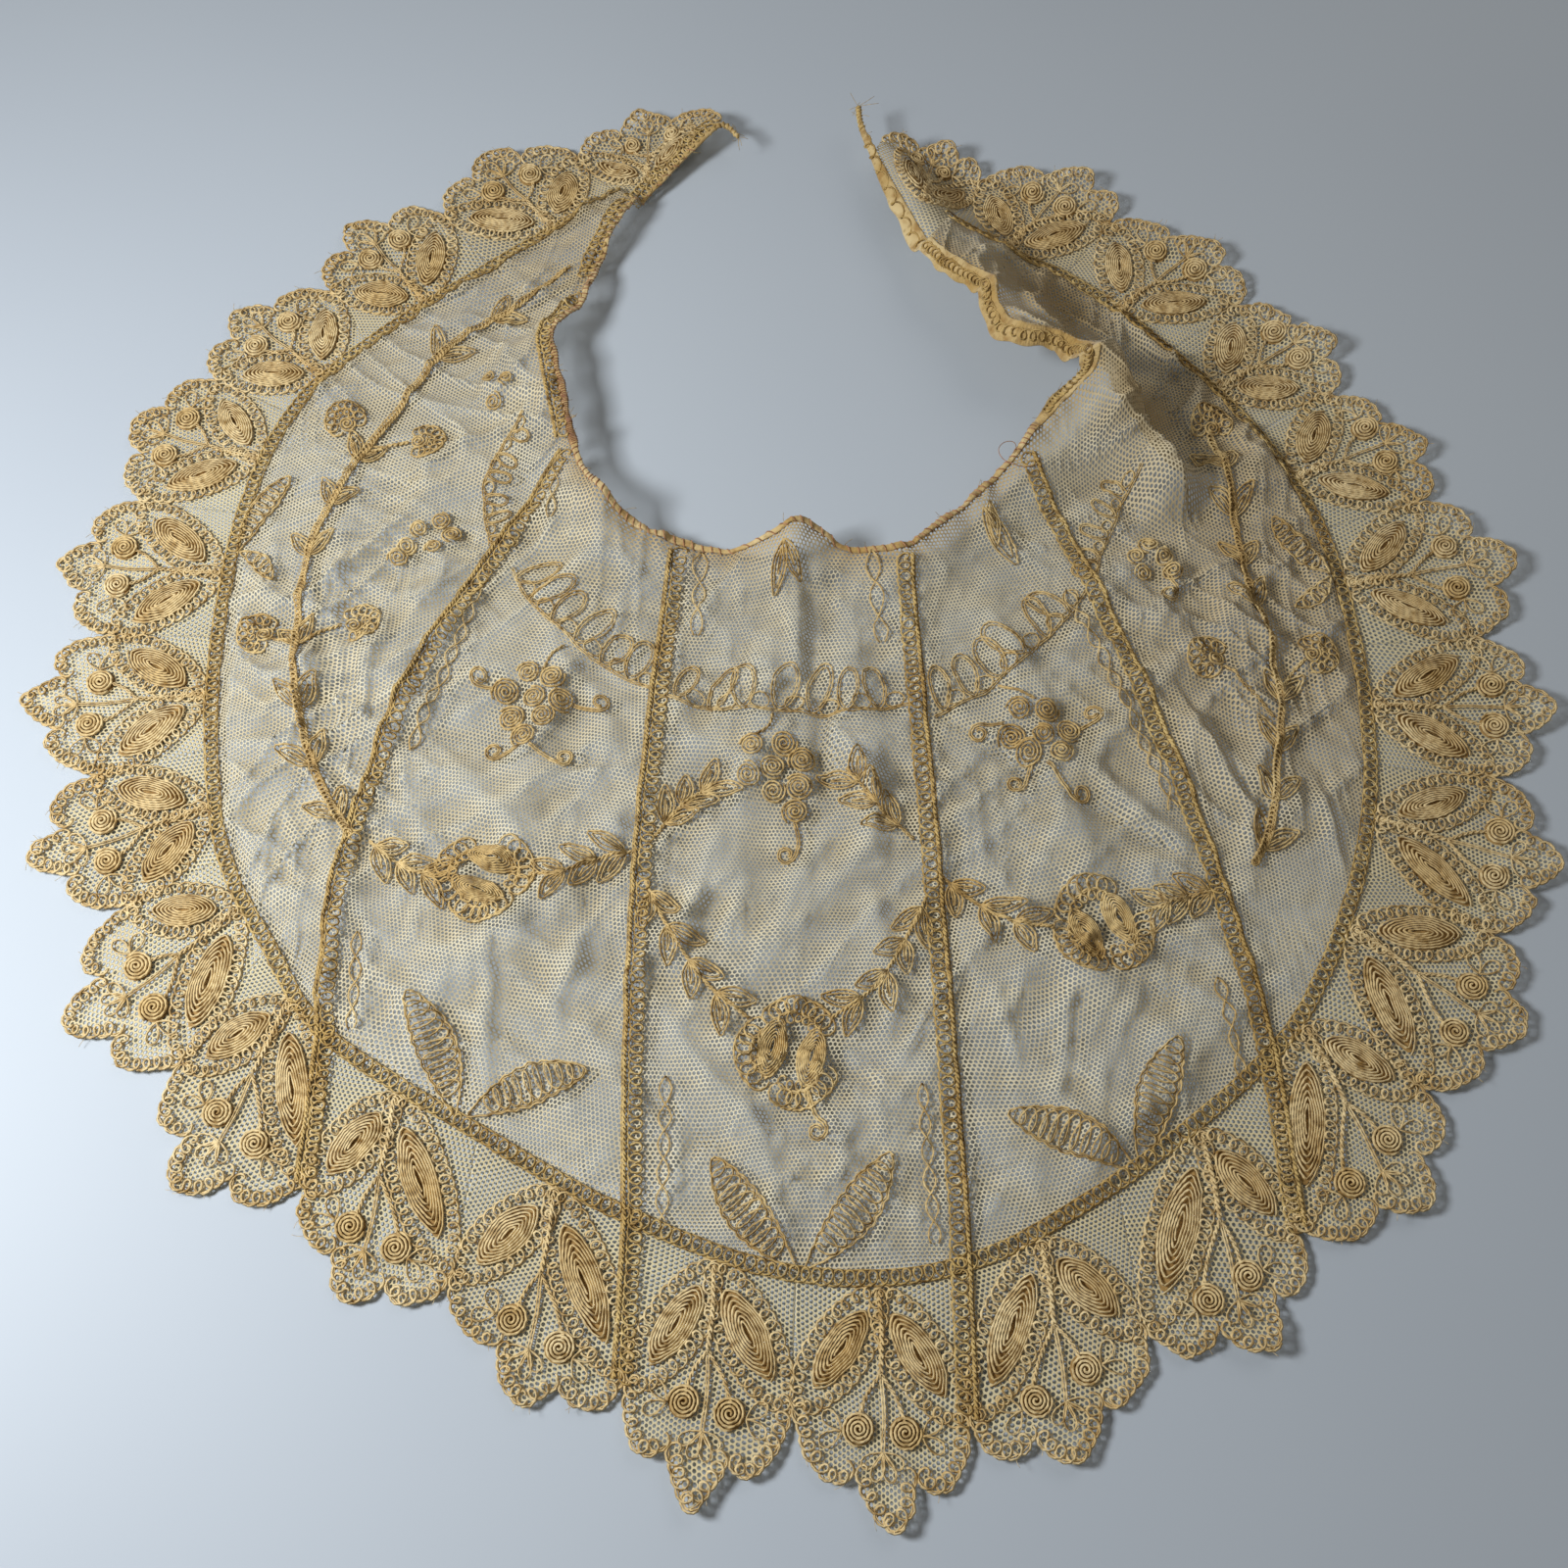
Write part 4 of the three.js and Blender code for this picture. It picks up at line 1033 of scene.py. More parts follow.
cordWork = {"ring": 3.6, "pitch": 2.75, "thread": 0.3, "rope": 0.36, "ropeAt": 2.3}


def seamLine(seam):
    # down the seam, then on through the border to its notch
    at = np.full(90, float(seam))
    down = planPoint(at, np.linspace(0.015, 1, 90))
    return np.concatenate([down, np.linspace(down[-1], notch(seam), 20)[1:]])


def seamWork(seam, seed):
    # a row of rings and, on the side away from the middle, a rope with a fine thread beside it
    line = evenly(seamLine(seam), spacing=1.0)
    sign = -1 if seam < 13 else 1  # the side away from the middle gore
    tubes = [looped(beside(line, sign * -0.35), cordWork["ring"], cordWork["pitch"], cordWork["thread"],
                    above=0.35, seed=seed)]
    wobble = cordWork["ropeAt"] + 0.3 * (softNoise(line, 5, seed) - 0.5)
    tubes += twisted(beside(line, sign * wobble), cordWork["rope"], 0.4, 2.6, above=0.4)
    tubes.append(lay(beside(line, sign * (wobble + 0.75)), 0.2, above=0.15))
    return tubes


def lineWork(start, end, seed):
    # rings along the border line, with a close thread on their outer side and a fine one within
    at = np.linspace(start, end, (end - start) * 40)
    line = evenly(borderLine(at), spacing=1.0)
    tubes = [looped(line, cordWork["ring"], cordWork["pitch"], cordWork["thread"], above=0.3, seed=seed)]
    for offset, radius in ((1.95, 0.26), (-1.85, 0.16)):
        tubes.append(lay(beside(line, offset + 0.3 * (softNoise(line, 6, seed) - 0.5)), radius, above=0.2))
    return tubes


vineWork = {"thread": 0.33, "leaf": 11.6, "leafWidth": 4.7, "spread": 0.6, "stem": 0.34, "wrap": 2.0}


def leaf(base, tip, width, curve=0.0):
    # two outlines, one inside the other, and a thread up the middle
    base, tip = np.asarray(base, float), np.asarray(tip, float)
    thread = vineWork["thread"]
    inner = base + (tip - base) * 0.08
    near = base + (tip - base) * 0.88
    return [lay(leafLine(base, tip, width, 20, curve), thread, above=0.25),
            lay(leafLine(inner, near, width * 0.6, 14, curve), thread * 0.85, above=0.2),
            lay(leafLine(base, base + (tip - base) * 0.7, width * 0.16, 8, curve), thread * 0.8, above=0.3)]


def leafPair(base, direction):
    # a leaf to each side of the stem, turned from it by the spread
    tubes = []
    for sign in (-1, 1):
        lean = swung(direction, sign * vineWork["spread"] * seeds.uniform(0.8, 1.2))
        reach = vineWork["leaf"] * seeds.uniform(0.86, 1.12)
        tubes += leaf(base + lean * 0.6, base + lean * reach, vineWork["leafWidth"], -0.5 * sign)
    return tubes


def vine(stops, pairs, thick=False):
    # a twisted stem with a pair of leaves at each share of its length; a thick one is wrapped in loops
    line = smoothLine(stops, 1.0)
    tubes = twisted(line, vineWork["stem"] if thick else 0.33, 0.5 if thick else 0.36, 2.8)
    if thick:
        tubes.append(looped(line, vineWork["wrap"], 1.3, 0.3, perLoop=8, above=0.5, seed=5))
    for share in pairs:
        k = int(share * (len(line) - 2))
        tubes += leafPair(line[k], unit(line[min(k + 3, len(line) - 1)] - line[max(k - 3, 0)]))
    return tubes


tendril = {"turns": 1.1, "radius": 2.6, "gap": 0.63, "thread": 0.3}


def curl(stops, sign=1):
    # a tendril: double thread that ends in a small coil, r (1 - 0.55 share) wide
    line = smoothLine(stops, 0.9)
    run = unit(line[-1] - line[-3])
    side = np.array([-run[1], run[0]]) * sign
    angle = np.linspace(0, tendril["turns"] * 2 * np.pi, int(tendril["turns"] * 12))
    reach = tendril["radius"] * (1 - 0.55 * angle / angle[-1])
    centre = line[-1] + side * tendril["radius"]
    coil = centre + reach[:, None] * (np.sin(angle)[:, None] * run - np.cos(angle)[:, None] * side)
    return doubled(np.concatenate([line, coil[1:]]), tendril["gap"], tendril["thread"], above=0.15)


def grapes(centres, radius=4.1):
    # a wound rosette at each place, in three sizes by turns
    tubes = []
    for k, centre in enumerate(centres):
        tubes += rosette(centre, radius * (0.92 + 0.14 * (k % 3) / 2), seed=k, pitch=1.0, thread=0.34)
    return tubes


chainWork = {"tall": 13.5, "small": 4.4, "every": 9.6, "thread": 0.28}


def loopChain(stops, flip=1, every=chainWork["every"], tall=chainWork["tall"], small=chainWork["small"]):
    # tall loops and small round ones in turn, along a base thread, all on the neck's side
    thread, step = chainWork["thread"], 0.8
    line = smoothLine(stops, step)
    wavy = beside(line, 1.6 * (softNoise(line, 6, 67) - 0.5))
    tubes = doubled(wavy, 0.6, thread * 0.8, 0.15)
    run, side = sideways(line)
    side = side * flip
    for k in range(int(step * (len(line) - 1) / every)):
        s, t = int((k + 0.35) * every / step), int((k + 0.85) * every / step)
        if t >= len(line):
            break
        reach = tall * (0.86 + 0.28 * seeds.random())
        lean = unit(side[s] + run[s] * seeds.uniform(-0.1, 0.4) * flip)
        width = (0.36 + 0.1 * seeds.random()) * tall
        tubes.append(lay(teardrop(line[s], line[s] + lean * reach, width, 20, 0.2), thread, 0.2))
        tubes.append(lay(teardrop(line[s] + lean, line[s] + lean * reach * 0.93, width * 0.78, 18, 0.2),
                         thread * 0.85, 0.2))
        tubes.append(lay(teardrop(line[t], line[t] + side[t] * small, small * 0.95, 13, 0.0), thread, 0.2))
    return tubes


def chain(stops, swing=1.5, link=6.8):
    # two threads that cross over every link: line +- swing |sin|
    line = evenly(smoothLine(stops, 1.0), spacing=0.7)
    s = np.arange(len(line)) * 0.7
    wave = swing * np.sin(np.pi * s / link) * (0.8 + 0.4 * softNoise(line, 9, 66))
    return [lay(beside(line, wave), 0.29, 0.15), lay(beside(line, -wave), 0.29, 0.35)]


barWork = {"width": 10.4, "bar": 3.3, "outline": 0.33, "coil": 0.3}


def barredLeaf(root, tip, width=barWork["width"], curve=1.6):
    # a double outline, half width w/2 sin(pi s^1.15)^0.75, and a coil that swings from side to side in it
    root, way, side = between(root, tip)
    turns = int(np.linalg.norm(way) / barWork["bar"])

    def profile(s, scale):
        s = np.asarray(s, float)
        waves = 1 + 0.07 * np.sin(2 * np.pi * s * turns)
        return 0.5 * width * scale * np.sin(np.pi * np.clip(s, 0, 1) ** 1.15) ** 0.75 * waves

    def leafPlace(s, across):
        return root + s[:, None] * way + (across + curve * np.sin(np.pi * s))[:, None] * side

    around = 1 - np.abs(np.linspace(-1, 1, 60))
    sign = np.where(np.arange(60) < 30, 1, -1)
    outline = leafPlace(around, sign * profile(around, 1.0))
    inner = leafPlace(0.05 + 0.9 * around, sign * profile(0.05 + 0.9 * around, 0.88))
    s = np.linspace(0.16, 0.93, turns * 14)
    angle = 2 * np.pi * (s - s[0]) / (s[-1] - s[0]) * turns
    coil = leafPlace(s, profile(s, 0.82) * np.sin(angle)) + (1.25 * np.cos(angle))[:, None] * unit(way)
    return [lay(outline, barWork["outline"], 0.2), lay(inner, 0.2, 0.15), lay(coil, barWork["coil"], 0.4)]


def blossom(centre, radius, turn):
    # fans of loops round two wound crescents and an open eye
    centre = np.asarray(centre, float)
    tubes = []

    def polar(reach, angle):
        angle = np.asarray(angle) + turn
        return centre + np.asarray(reach)[..., None] * np.stack([np.cos(angle), np.sin(angle)], -1)

    for start, end in ((0.15, 1.75), (2.0, 3.5), (3.9, 5.3)):
        arc = np.linspace(start, end, 30)
        swell = np.sin(np.pi * (arc - start) / (end - start))
        for share, ring, pitch, above in ((0.88, 4.7, 2.5, 0.15), (0.62, 2.8, 2.3, 0.3)):
            line = polar(radius * (share + 0.12 * swell), arc)
            tubes.append(looped(line, ring, pitch, 0.3, above=above, seed=int(start * 10 + ring)))
        tubes.append(lay(evenly(polar(radius * (1.06 + 0.12 * swell), arc), spacing=1.4), 0.3, 0.1))
    for middle in (2.5, 5.6):
        begin, finish = polar(radius * 0.78, middle - 1.0), polar(radius * 0.78, middle + 1.0)
        tubes += spindle(begin, finish, radius * 0.3, 7, rise=0.9)
    return tubes


def flowerBud(centre, direction, size=5.6):
    # a small vine flower: one wound eye and a fan of loops round it
    centre = np.asarray(centre, float)
    base = math.atan2(direction[1], direction[0])
    eye = centre - unit(np.asarray(direction, float)) * size * 0.35
    tubes = rosette(eye, size * 0.5, seed=int(size * 3), pitch=0.9, thread=0.35)
    arc = np.linspace(-2.3, 2.3, 30) + base
    fan = np.stack([np.cos(arc), np.sin(arc)], 1)
    tubes.append(looped(centre + size * 0.82 * fan, 3.2, 2.3, 0.3, above=0.15, seed=int(abs(centre[0]))))
    tubes.append(lay(evenly(centre + size * 1.1 * fan, spacing=1.2), 0.28, 0.1))
    tubes.append(looped(centre + size * 0.4 * fan[4:-4], 2.0, 1.8, 0.27, above=0.35))
    return tubes


def centerWork():
    # a garland of loops, grapes, two sprays, a wreath under them and barred leaves at the foot
    tubes = []
    tubes += loopChain([(-33, -7), (-22, -11), (-12, -12), (5, -12), (15, -13), (36, -10)])
    tubes += grapes([(-9, -23), (0, -22), (5, -27), (-10, -32), (-3, -29), (4, -35), (-3, -36), (3, -42)])
    tubes += twisted(smoothLine([(-3, -13), (-4, -17), (-8, -20)], 1), 0.26, 0.25)
    tubes += curl([(3, -45), (4, -51), (3, -55)], -1)
    tubes += vine([(-35, -49), (-28, -40), (-19, -33)], (0.22, 0.5, 0.82))
    tubes += vine([(35, -50), (26, -42), (17, -30)], (0.22, 0.5, 0.82))
    tubes += vine([(-37, -62), (-30, -76), (-20, -90), (-9, -99)], (0.08, 0.32, 0.56, 0.8))
    tubes += vine([(38, -66), (33, -76), (24, -90), (12, -99)], (0.08, 0.32, 0.56, 0.8))
    tubes += blossom((2, -108), 12.5, 0.4) + curl([(6, -118), (8, -124), (10, -126)], -1)
    tubes += chain([(-30, -114), (-30, -150)]) + chain([(35, -116), (37, -155)])
    tubes += chain([(-24, 38), (-25, 12)], 2.0, 9) + chain([(25, 36), (28, 10)], 2.0, 9)
    tubes += barredLeaf((3, -161), (-18, -134)) + barredLeaf((5, -161), (27, -133), curve=-1.6)
    tubes += leaf((0, 36), (-3, 22), 4) + leaf((0, 36), (5, 26), 4)
    return tubes


def innerLeftWork():
    # the garland, grapes with four tendrils, a blossom between sprays, and barred leaves
    tubes = []
    tubes += loopChain([(-79, 34), (-75, 25), (-61, 11), (-50, 2), (-36, -6)])
    tubes += grapes([(-72, 0), (-65, -2), (-78, -6), (-70, -8), (-62, -9), (-76, -14), (-67, -14),
                     (-72, -20)])
    tubes += twisted(smoothLine([(-62, 8), (-66, 4), (-68, 0)], 1), 0.26, 0.25)
    tubes += curl([(-81, -5), (-86, -4)], -1) + curl([(-59, -10), (-52, -12)])
    tubes += curl([(-73, -23), (-79, -26)], -1) + curl([(-70, -23), (-62, -28)])
    tubes += vine([(-39, -53), (-50, -56), (-60, -60), (-68, -60)], (0.12, 0.4, 0.7))
    tubes += vine([(-112, -50), (-106, -55), (-96, -60), (-90, -60)], (0.1, 0.45, 0.75))
    tubes += blossom((-80, -60), 11.5, 1.9)
    tubes += barredLeaf((-83, -124), (-97, -92), curve=-1.6) + barredLeaf((-80, -124), (-50, -112))
    tubes += chain([(-112, -76), (-111, -102)]) + chain([(-66, 68), (-68, 48)], 1.6, 7)
    return tubes


def innerRightWork():
    # as the other side, with its own places
    tubes = []
    tubes += loopChain([(42, -13), (60, -3), (69, 6), (80, 16), (86, 26)])
    tubes += grapes([(65, -12), (73, -12), (63, -20), (71, -20), (79, -18), (67, -25), (76, -25)])
    tubes += twisted(smoothLine([(60, -4), (66, -7), (70, -9)], 1), 0.26, 0.25)
    tubes += curl([(61, -16), (54, -16)]) + curl([(81, -18), (87, -15)])
    tubes += curl([(68, -28), (66, -34)], -1) + curl([(72, -28), (79, -38)])
    tubes += vine([(42, -60), (49, -66), (60, -73), (71, -75)], (0.12, 0.42, 0.72))
    tubes += vine([(116, -64), (107, -66), (99, -69), (95, -71)], (0.1, 0.4, 0.7))
    tubes += blossom((84, -74), 12, 1.1)
    tubes += barredLeaf((89, -137), (101, -104)) + barredLeaf((88, -137), (56, -123), curve=-1.6)
    tubes += chain([(81, 26), (92, 0), (106, -41)]) + chain([(113, -88), (117, -114)])
    tubes += leaf((58, 52), (68, 34), 6) + leaf((60, 54), (62, 40), 4)
    return tubes


def outerLeftWork():
    # a long vine with buds on side stems, berries, a short garland and two small barred leaves
    tubes = []
    left = [(-117, -49), (-126, -35), (-133, -19), (-137, 1), (-139, 25), (-138, 45), (-134, 55), (-128, 71),
            (-117, 90), (-110, 103), (-100, 116), (-90, 123), (-82, 128), (-68, 141)]
    tubes += vine(left, (0.03, 0.11, 0.19, 0.28, 0.42, 0.5, 0.58, 0.77, 0.87), thick=True)
    tubes += flowerBud((-133, 86), (-0.5, 1)) + flowerBud((-108, 78), (1, 0))
    tubes += flowerBud((-150, 13), (-1, 0.3)) + flowerBud((-121, 16), (1, 0.2))
    for stops in ([(-128, 72), (-131, 80)], [(-128, 72), (-121, 76), (-113, 78)],
                  [(-138, 8), (-143, 10), (-147, 12)], [(-138, 8), (-132, 12), (-126, 15)]):
        tubes += twisted(smoothLine(stops, 1), 0.3, 0.34)
    tubes += grapes([(-107, 47), (-101, 50), (-97, 45), (-102, 40), (-110, 41), (-112, 37)], 3.3)
    tubes += grapes([(-90, 98), (-84, 96), (-88, 90)], 2.8)
    tubes += loopChain([(-86, 41), (-89, 55), (-88, 67), (-84, 76), (-78, 84)], -1, 7.5, 8, 3)
    tubes += barredLeaf((-160, 40), (-147, 66), 7) + barredLeaf((-159, 40), (-148, 30), 5)
    tubes += chain([(-86, 35), (-92, 12), (-103, -24)])
    return tubes


def outerRightWork():
    # as the other side, partly taken up by the pleat
    tubes = []
    right = [(126, -57), (131, -48), (135, -29), (137, -19), (139, -7), (138, 1), (137, 17), (134, 25),
             (133, 39), (132, 56), (130, 69), (128, 80)]
    tubes += vine(right, (0.04, 0.14, 0.25, 0.36, 0.58, 0.68, 0.8, 0.9), thick=True)
    tubes += flowerBud((120, 5), (-1, 0.4)) + flowerBud((151, 6), (1, 0.3))
    tubes += flowerBud((129, 84), (0, 1))
    for stops in ([(136, -14), (130, -6), (124, 2)], [(138, -8), (143, 0), (147, 4)]):
        tubes += twisted(smoothLine(stops, 1), 0.3, 0.34)
    tubes += grapes([(102, 37), (110, 37), (106, 41), (104, 32), (112, 32)], 3.3)
    tubes += curl([(110, 34), (113, 26)], -1)
    tubes += loopChain([(89, 28), (93, 40), (98, 52), (104, 64)], 1, 7.5, 8, 3)
    tubes += barredLeaf((158, 32), (144, 52), 7) + barredLeaf((158, 31), (147, 22), 5)
    return tubes


goreWork = {"center": centerWork(), "inner_left": innerLeftWork(), "inner_right": innerRightWork(),
            "outer_left": outerLeftWork(), "outer_right": outerRightWork()}
print("embroidery drawn")

grainTurns = {"outer_left": 38, "inner_left": 14, "center": 1, "inner_right": -13, "outer_right": -36}
for name, start, end in gores:
    piece = netSheet(f"{name}_net", goreGrids[name], grainTurns[name], netCloth, wearAndShadeShare(goreGrids[name]))
    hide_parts(f"net_panel_{name}")
    work = stitched(f"{name}_embroidery", goreWork[name], fineThread)
    spread, area = flatCut(goreGrids[name])
    cord = stitched(f"{name}_line_cord", lineWork(start, end, start), seamThread)
    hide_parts(f"line_cord_{name}")
for k, seam in enumerate(seams):
    cord = stitched(f"seam_cord_work_{k + 1}", seamWork(seam, 40 + k), seamThread)
    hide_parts(f"seam_cord_{k + 1}")
for i in range(lastNotch):
    number = f"{i + 1:02d}"
    grid = scallopGrids[i]
    piece = netSheet(f"scallop_net_{number}", grid, 90 * math.sin(i * 0.37), borderCloth)
    tubes, backing = scallopWork(i)
    work = stitched(f"scallop_work_{number}", tubes, borderThread, backing)
    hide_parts(f"border_scallop_{number}")
    spread, area = flatCut(grid, unit(notch(i + 1) - notch(i)))
print("nets and thread work placed")


# the rolled edge at the neck, the thread whipped round it, the rings beside it and its loose ends;
# From and To are places along the neck in notches, the rest is in mm
tape = {"from": -0.4, "to": 27.0, "thick": 1.0, "overlap": 0.9, "stitchEvery": 1.9, "stitch": 0.2,
        "ring": 2.8, "pitch": 2.4, "thread": 0.3, "bandFrom": 3.2, "bandTo": 9.4, "bandAway": 2.0,
        "tails": ((0.05, 1.0), (1.1, 2.6)), "tailRows": (1.4, 3.9), "stripFrom": 17.0, "stripTo": 26.2,
        "hairs": 150, "hairLength": 3.2, "frayLength": 3.2}


def tapeFrame(at):
    # middle of the tape's section, its width direction, and the way that its face looks; it starts
    # a little inside the net's edge, at the net's own height, and where it tilts it hangs from there
    run = unit(neckEdge(at + 0.03) - neckEdge(at - 0.03))
    inward = np.stack([-run[:, 1], run[:, 0]], 1)
    edge = neckEdge(at)
    width, tilt = through(neck, "tape", at), through(neck, "tilt", at)
    standing = smooth((at - 15.5) / 2) * smooth((26.6 - at) / 1.2)
    width = width * (0.42 + 0.58 * standing + 0.45 * (softNoise(edge, 5, 81) - 0.2 * standing))
    cos, sin = np.cos(np.radians(tilt)), np.sin(np.radians(tilt))
    out = 0.5 * width * cos + 0.4 * sin - tape["overlap"]
    middle = clothTop(edge - 0.8 * inward) + 0.35 - 0.5 * width * sin
    centre = np.concatenate([edge + inward * out[:, None], np.maximum(middle, 0.7)[:, None]], 1)
    wide = np.concatenate([inward * cos[:, None], -sin[:, None]], 1)
    face = np.concatenate([inward * sin[:, None], cos[:, None]], 1)
    run = np.concatenate([run, np.zeros((len(run), 1))], 1)
    return centre, wide, face, run, width


def tapeMesh():
    # a flattened oval section, |cos|^0.5 by |sin|^0.7, carried round the neck with an uneven width
    at = np.linspace(tape["from"], tape["to"], 900)
    centre, wide, face, _, width = tapeFrame(at)
    angle = np.linspace(0, 2 * np.pi, 12, endpoint=False)
    flat = np.sign(np.cos(angle)) * np.abs(np.cos(angle)) ** 0.5
    thick = np.sign(np.sin(angle)) * np.abs(np.sin(angle)) ** 0.7
    lumps = 0.7 + 0.6 * softNoise(centre[:, :2], 2.2, 82)
    corners = (centre[:, None] + (0.5 * width)[:, None, None] * flat[None, :, None] * wide[:, None]
               + 0.5 * tape["thick"] * lumps[:, None, None] * thick[None, :, None] * face[:, None])
    rows, columns = corners.shape[:2]
    k = np.arange(rows - 1)[:, None] * columns
    s = np.arange(columns)[None]
    t = (s + 1) % columns
    faces = np.stack([k + s, k + columns + s, k + columns + t, k + t], -1).reshape(-1, 4)
    caps = [[0, c, c + 1, c + 2] for c in range(1, columns - 2, 2)]
    last = (rows - 1) * columns
    caps += [[last + c + 2, last + c + 1, last + c, last] for c in range(1, columns - 2, 2)]
    faces = np.concatenate([faces, caps])
    uvCorner = np.stack(np.meshgrid(np.arange(rows) * 0.6, np.arange(columns) * 0.5, indexing="ij"), -1)
    return addMesh("neck_tape", corners.reshape(-1, 3), faces, uvCorner.reshape(-1, 2)[faces], "threadLay",
                   [neckCloth])


def overcast(start, end, radius, every):
    # a thread whipped round the tape: centre + (w/2 + r) cos a wide + (t/2 + r) sin a face
    length = lineLength(tapeFrame(np.linspace(start, end, 200))[0])
    at = np.linspace(start, end, int(length / every) * 9)
    centre, wide, face, _, width = tapeFrame(at)
    angle = 2 * np.pi * (np.arange(len(at)) / 9 + 0.8 * softNoise(centre[:, :2], 6, 83))
    path = (centre + ((0.5 * width + radius * 0.6) * np.cos(angle))[:, None] * wide
            + ((0.5 * tape["thick"] + radius) * np.sin(angle))[:, None] * face)
    return [tube(path, radius, 3)]


def ringsOnStrip():
    # rings on the standing strip: centre + r (sin a wide + cos a run) + thick/2 face
    along = np.linspace(tape["stripFrom"], tape["stripTo"], 60)
    length = lineLength(tapeFrame(along)[0])
    turns = int(length / tape["pitch"])
    at = np.linspace(tape["stripFrom"], tape["stripTo"], turns * 10)
    centre, wide, face, run, _ = tapeFrame(at)
    angle = 2 * np.pi * np.arange(len(at)) / 10
    reach = (0.5 * tape["ring"] * (0.85 + 0.3 * softNoise(centre[:, :2], 5, 85)))[:, None]
    path = (centre + reach * (np.sin(angle)[:, None] * wide + np.cos(angle)[:, None] * run)
            + (0.5 * tape["thick"] + 0.25 + 0.15 * np.sin(angle + 0.8))[:, None] * face)
    return [tube(path, 0.33, 3)]


def neckRings():
    # rings and a rope beside the left neck edge, and two rows of rings along each tail
    line = neckEdge(np.linspace(tape["bandFrom"], tape["bandTo"], 120))
    near = evenly(beside(line, -tape["bandAway"]), spacing=1.0)
    far = evenly(beside(line, -tape["bandAway"] - 2.4), spacing=1.0)
    tubes = [looped(near, tape["ring"], tape["pitch"], tape["thread"], above=0.3, seed=91),
             *twisted(far, 0.36, 0.4, 2.6)]
    for start, end in tape["tails"]:
        line = neckEdge(np.linspace(start, end, 60))
        for k, away in enumerate(tape["tailRows"]):
            row = evenly(beside(line, -away), spacing=1.0)
            tubes.append(looped(row, tape["ring"], 2.5, tape["thread"], above=0.3, seed=92 + k))
    return tubes


def fibre(start, lean, bow, radius, lowest, steps=6):
    # start + t lean + t^2 bow, kept off the table
    t = np.linspace(0, 1, steps)[:, None]
    path = start + t * lean + t * t * bow
    path[:, 2] = np.maximum(path[:, 2], lowest)
    return tube(path, radius, 3)


def looseEnds():
    # frayed hairs all round the neck and at both tails, in the tape's own thread
    at = seeds.uniform(tape["from"], 26.8, tape["hairs"])
    centre, _, _, run, _ = tapeFrame(at)
    inward = np.stack([-run[:, 1], run[:, 0]], 1) * seeds.choice([-1, 1], len(at))[:, None]
    tubes = []
    for k in range(len(at)):
        length = tape["hairLength"] * seeds.uniform(0.3, 1)
        lean = np.array([*inward[k], seeds.uniform(-0.1, 0.7)])
        bow = np.array([run[k, 0], run[k, 1], 0.2]) * seeds.normal(0, 0.6)
        tubes.append(fibre(centre[k], length * lean, length * bow, 0.07, 0.2))
    return tubes


def tailFray():
    # the tails' rolled ends: coils of net round the tape's last stretch, and long fibres
    tubes = []
    for start, end in ((tape["from"], 0.15), (26.4, tape["to"])):
        at = np.linspace(start, end, 90)
        centre, wide, face, _, width = tapeFrame(at)
        angle = np.linspace(0, 2 * np.pi * 7, len(at))
        reach = (0.42 * width * (0.8 + 0.5 * softNoise(centre[:, :2], 2.5, 87)))[:, None]
        coil = centre + reach * (np.cos(angle)[:, None] * wide + np.sin(angle)[:, None] * face)
        tubes.append(tube(coil, 0.42, 4))
        tip = centre[0] if start < 0 else centre[-1]
        for _ in range(7):
            lean = tape["frayLength"] * seeds.normal(0, 1, 3) * np.array([1, 1, 0.4])
            bow = tape["frayLength"] * seeds.normal(0, 0.4, 3)
            tubes.append(fibre(tip, lean, bow, 0.08, 0.25, 8))
    return tubes


def looseLoop():
    # a pulled rose thread standing in a loop off the right neck edge
    angle = np.linspace(-0.4, 2 * np.pi + 0.5, 30)
    centre = np.array([64.0, 70.0])
    line = centre + np.stack([4.2 * np.cos(angle) + 1.1 * angle, 3.0 * np.sin(angle) - 0.6 * angle], 1)
    return [raised(line, clothTop(line) + 0.8 + 2.4 * np.sin(angle / 2) ** 2, 0.13)]


tapePiece = tapeMesh()
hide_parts("neck_binding")
whipped = overcast(0.3, 16.4, tape["stitch"], tape["stitchEvery"])
stitched("neck_stitching", whipped + looseLoop(), roseThread)
stitched("neck_rings", ringsOnStrip() + neckRings() + looseEnds() + tailFray(), seamThread)
print("neck finished")

tableTop = {"size": 3.0, "colour": "#c1cad3", "mottle": "#bcc5cf", "patch": (260, 2, 0.3, 0.7, 1.0)}


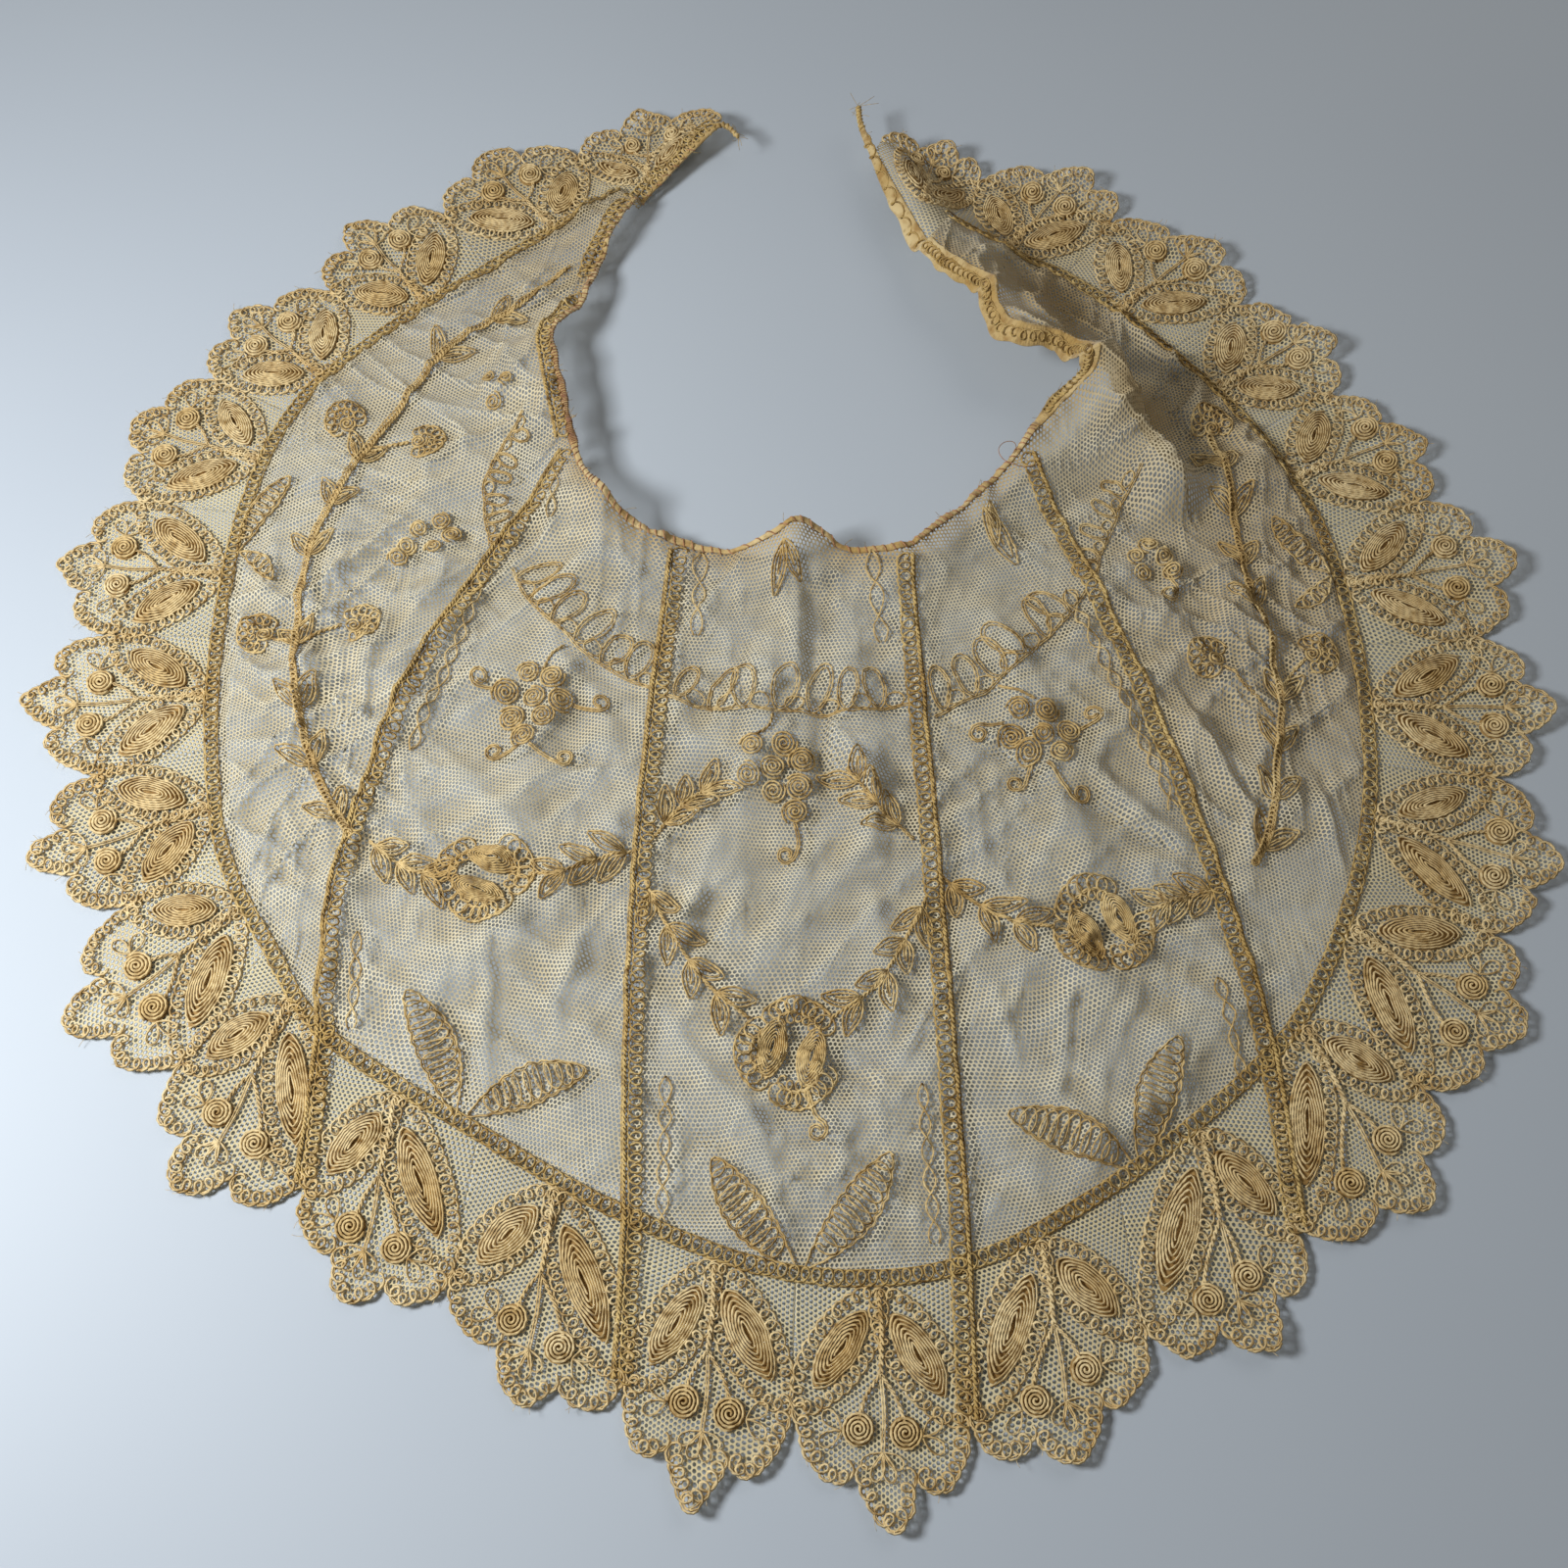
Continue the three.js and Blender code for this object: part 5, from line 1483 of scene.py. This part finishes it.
def paleTable():
    # lacquered board: pale, cool, with a very faint mottle and a soft low gloss
    mesh = bpy.data.meshes.new("table")
    half = tableTop["size"] / 2
    corners = [(-half, -half, 0), (half, -half, 0), (half, half, 0), (-half, half, 0)]
    mesh.from_pydata(corners, [], [(0, 1, 2, 3)])
    top = bpy.data.objects.new("table", mesh)
    bpy.context.scene.collection.objects.link(top)
    material, tree, surface = newMaterial("lacquered_board", {"Roughness": 0.55, "Specular IOR Level": 0.3})
    place = addNode(tree, "ShaderNodeTexCoord", output="Object")
    painted(tree, surface, tableTop["colour"],
            [(patches(tree, place, tableTop["patch"]), tableTop["mottle"])])
    mesh.materials.append(material)


lighting = {"key": (-0.42, -0.08, 0.41), "keySize": 0.15, "keyPower": 3.3, "keyColour": "#fbfdff",
            "fill": (0.45, 0.5, 0.7), "fillSize": 0.6, "fillPower": 1.2, "fillColour": "#fbf6ee",
            "room": "#efebe5", "roomStrength": 0.15}


def areaLight(name, place, size, power, colour):
    # a square lamp that looks at the middle of the table
    light = bpy.data.lights.new(name, "AREA")
    light.size, light.energy, light.color = size, power, hexColour(colour)[:3]
    lamp = bpy.data.objects.new(name, light)
    lamp.location = place
    lamp.rotation_euler = (Vector((0, -0.03, 0)) - Vector(place)).to_track_quat("-Z", "Y").to_euler()
    bpy.context.scene.collection.objects.link(lamp)


paleTable()
areaLight("window_key", lighting["key"], lighting["keySize"], lighting["keyPower"], lighting["keyColour"])
areaLight("soft_fill", lighting["fill"], lighting["fillSize"], lighting["fillPower"], lighting["fillColour"])
world = bpy.data.worlds.new("room")
world.use_nodes = True
world.node_tree.nodes["Background"].inputs["Color"].default_value = hexColour(lighting["room"])
world.node_tree.nodes["Background"].inputs["Strength"].default_value = lighting["roomStrength"]
bpy.context.scene.world = world
bpy.context.scene.view_settings.view_transform = "Standard"

view = {"place": (0.0001, -0.1901, 0.400), "tilt": 22.34, "lens": 36}
lens = bpy.data.cameras.new("camera")
lens.lens, lens.sensor_width = view["lens"], 36
lens.clip_start, lens.clip_end = 0.01, 20
camera = bpy.data.objects.new("camera", lens)
camera.location = view["place"]
camera.rotation_euler = (math.radians(view["tilt"]), 0, 0)
bpy.context.scene.collection.objects.link(camera)
bpy.context.scene.camera = camera

counts = {}
for piece in bpy.context.scene.objects:
    if piece.type == "MESH" and not piece.hide_render:
        piece.data.calc_loop_triangles()
        counts[piece.name] = len(piece.data.loop_triangles) * (2 if piece.modifiers else 1)
print("triangles in all:", sum(counts.values()), "most in one piece:", max(counts.values()))
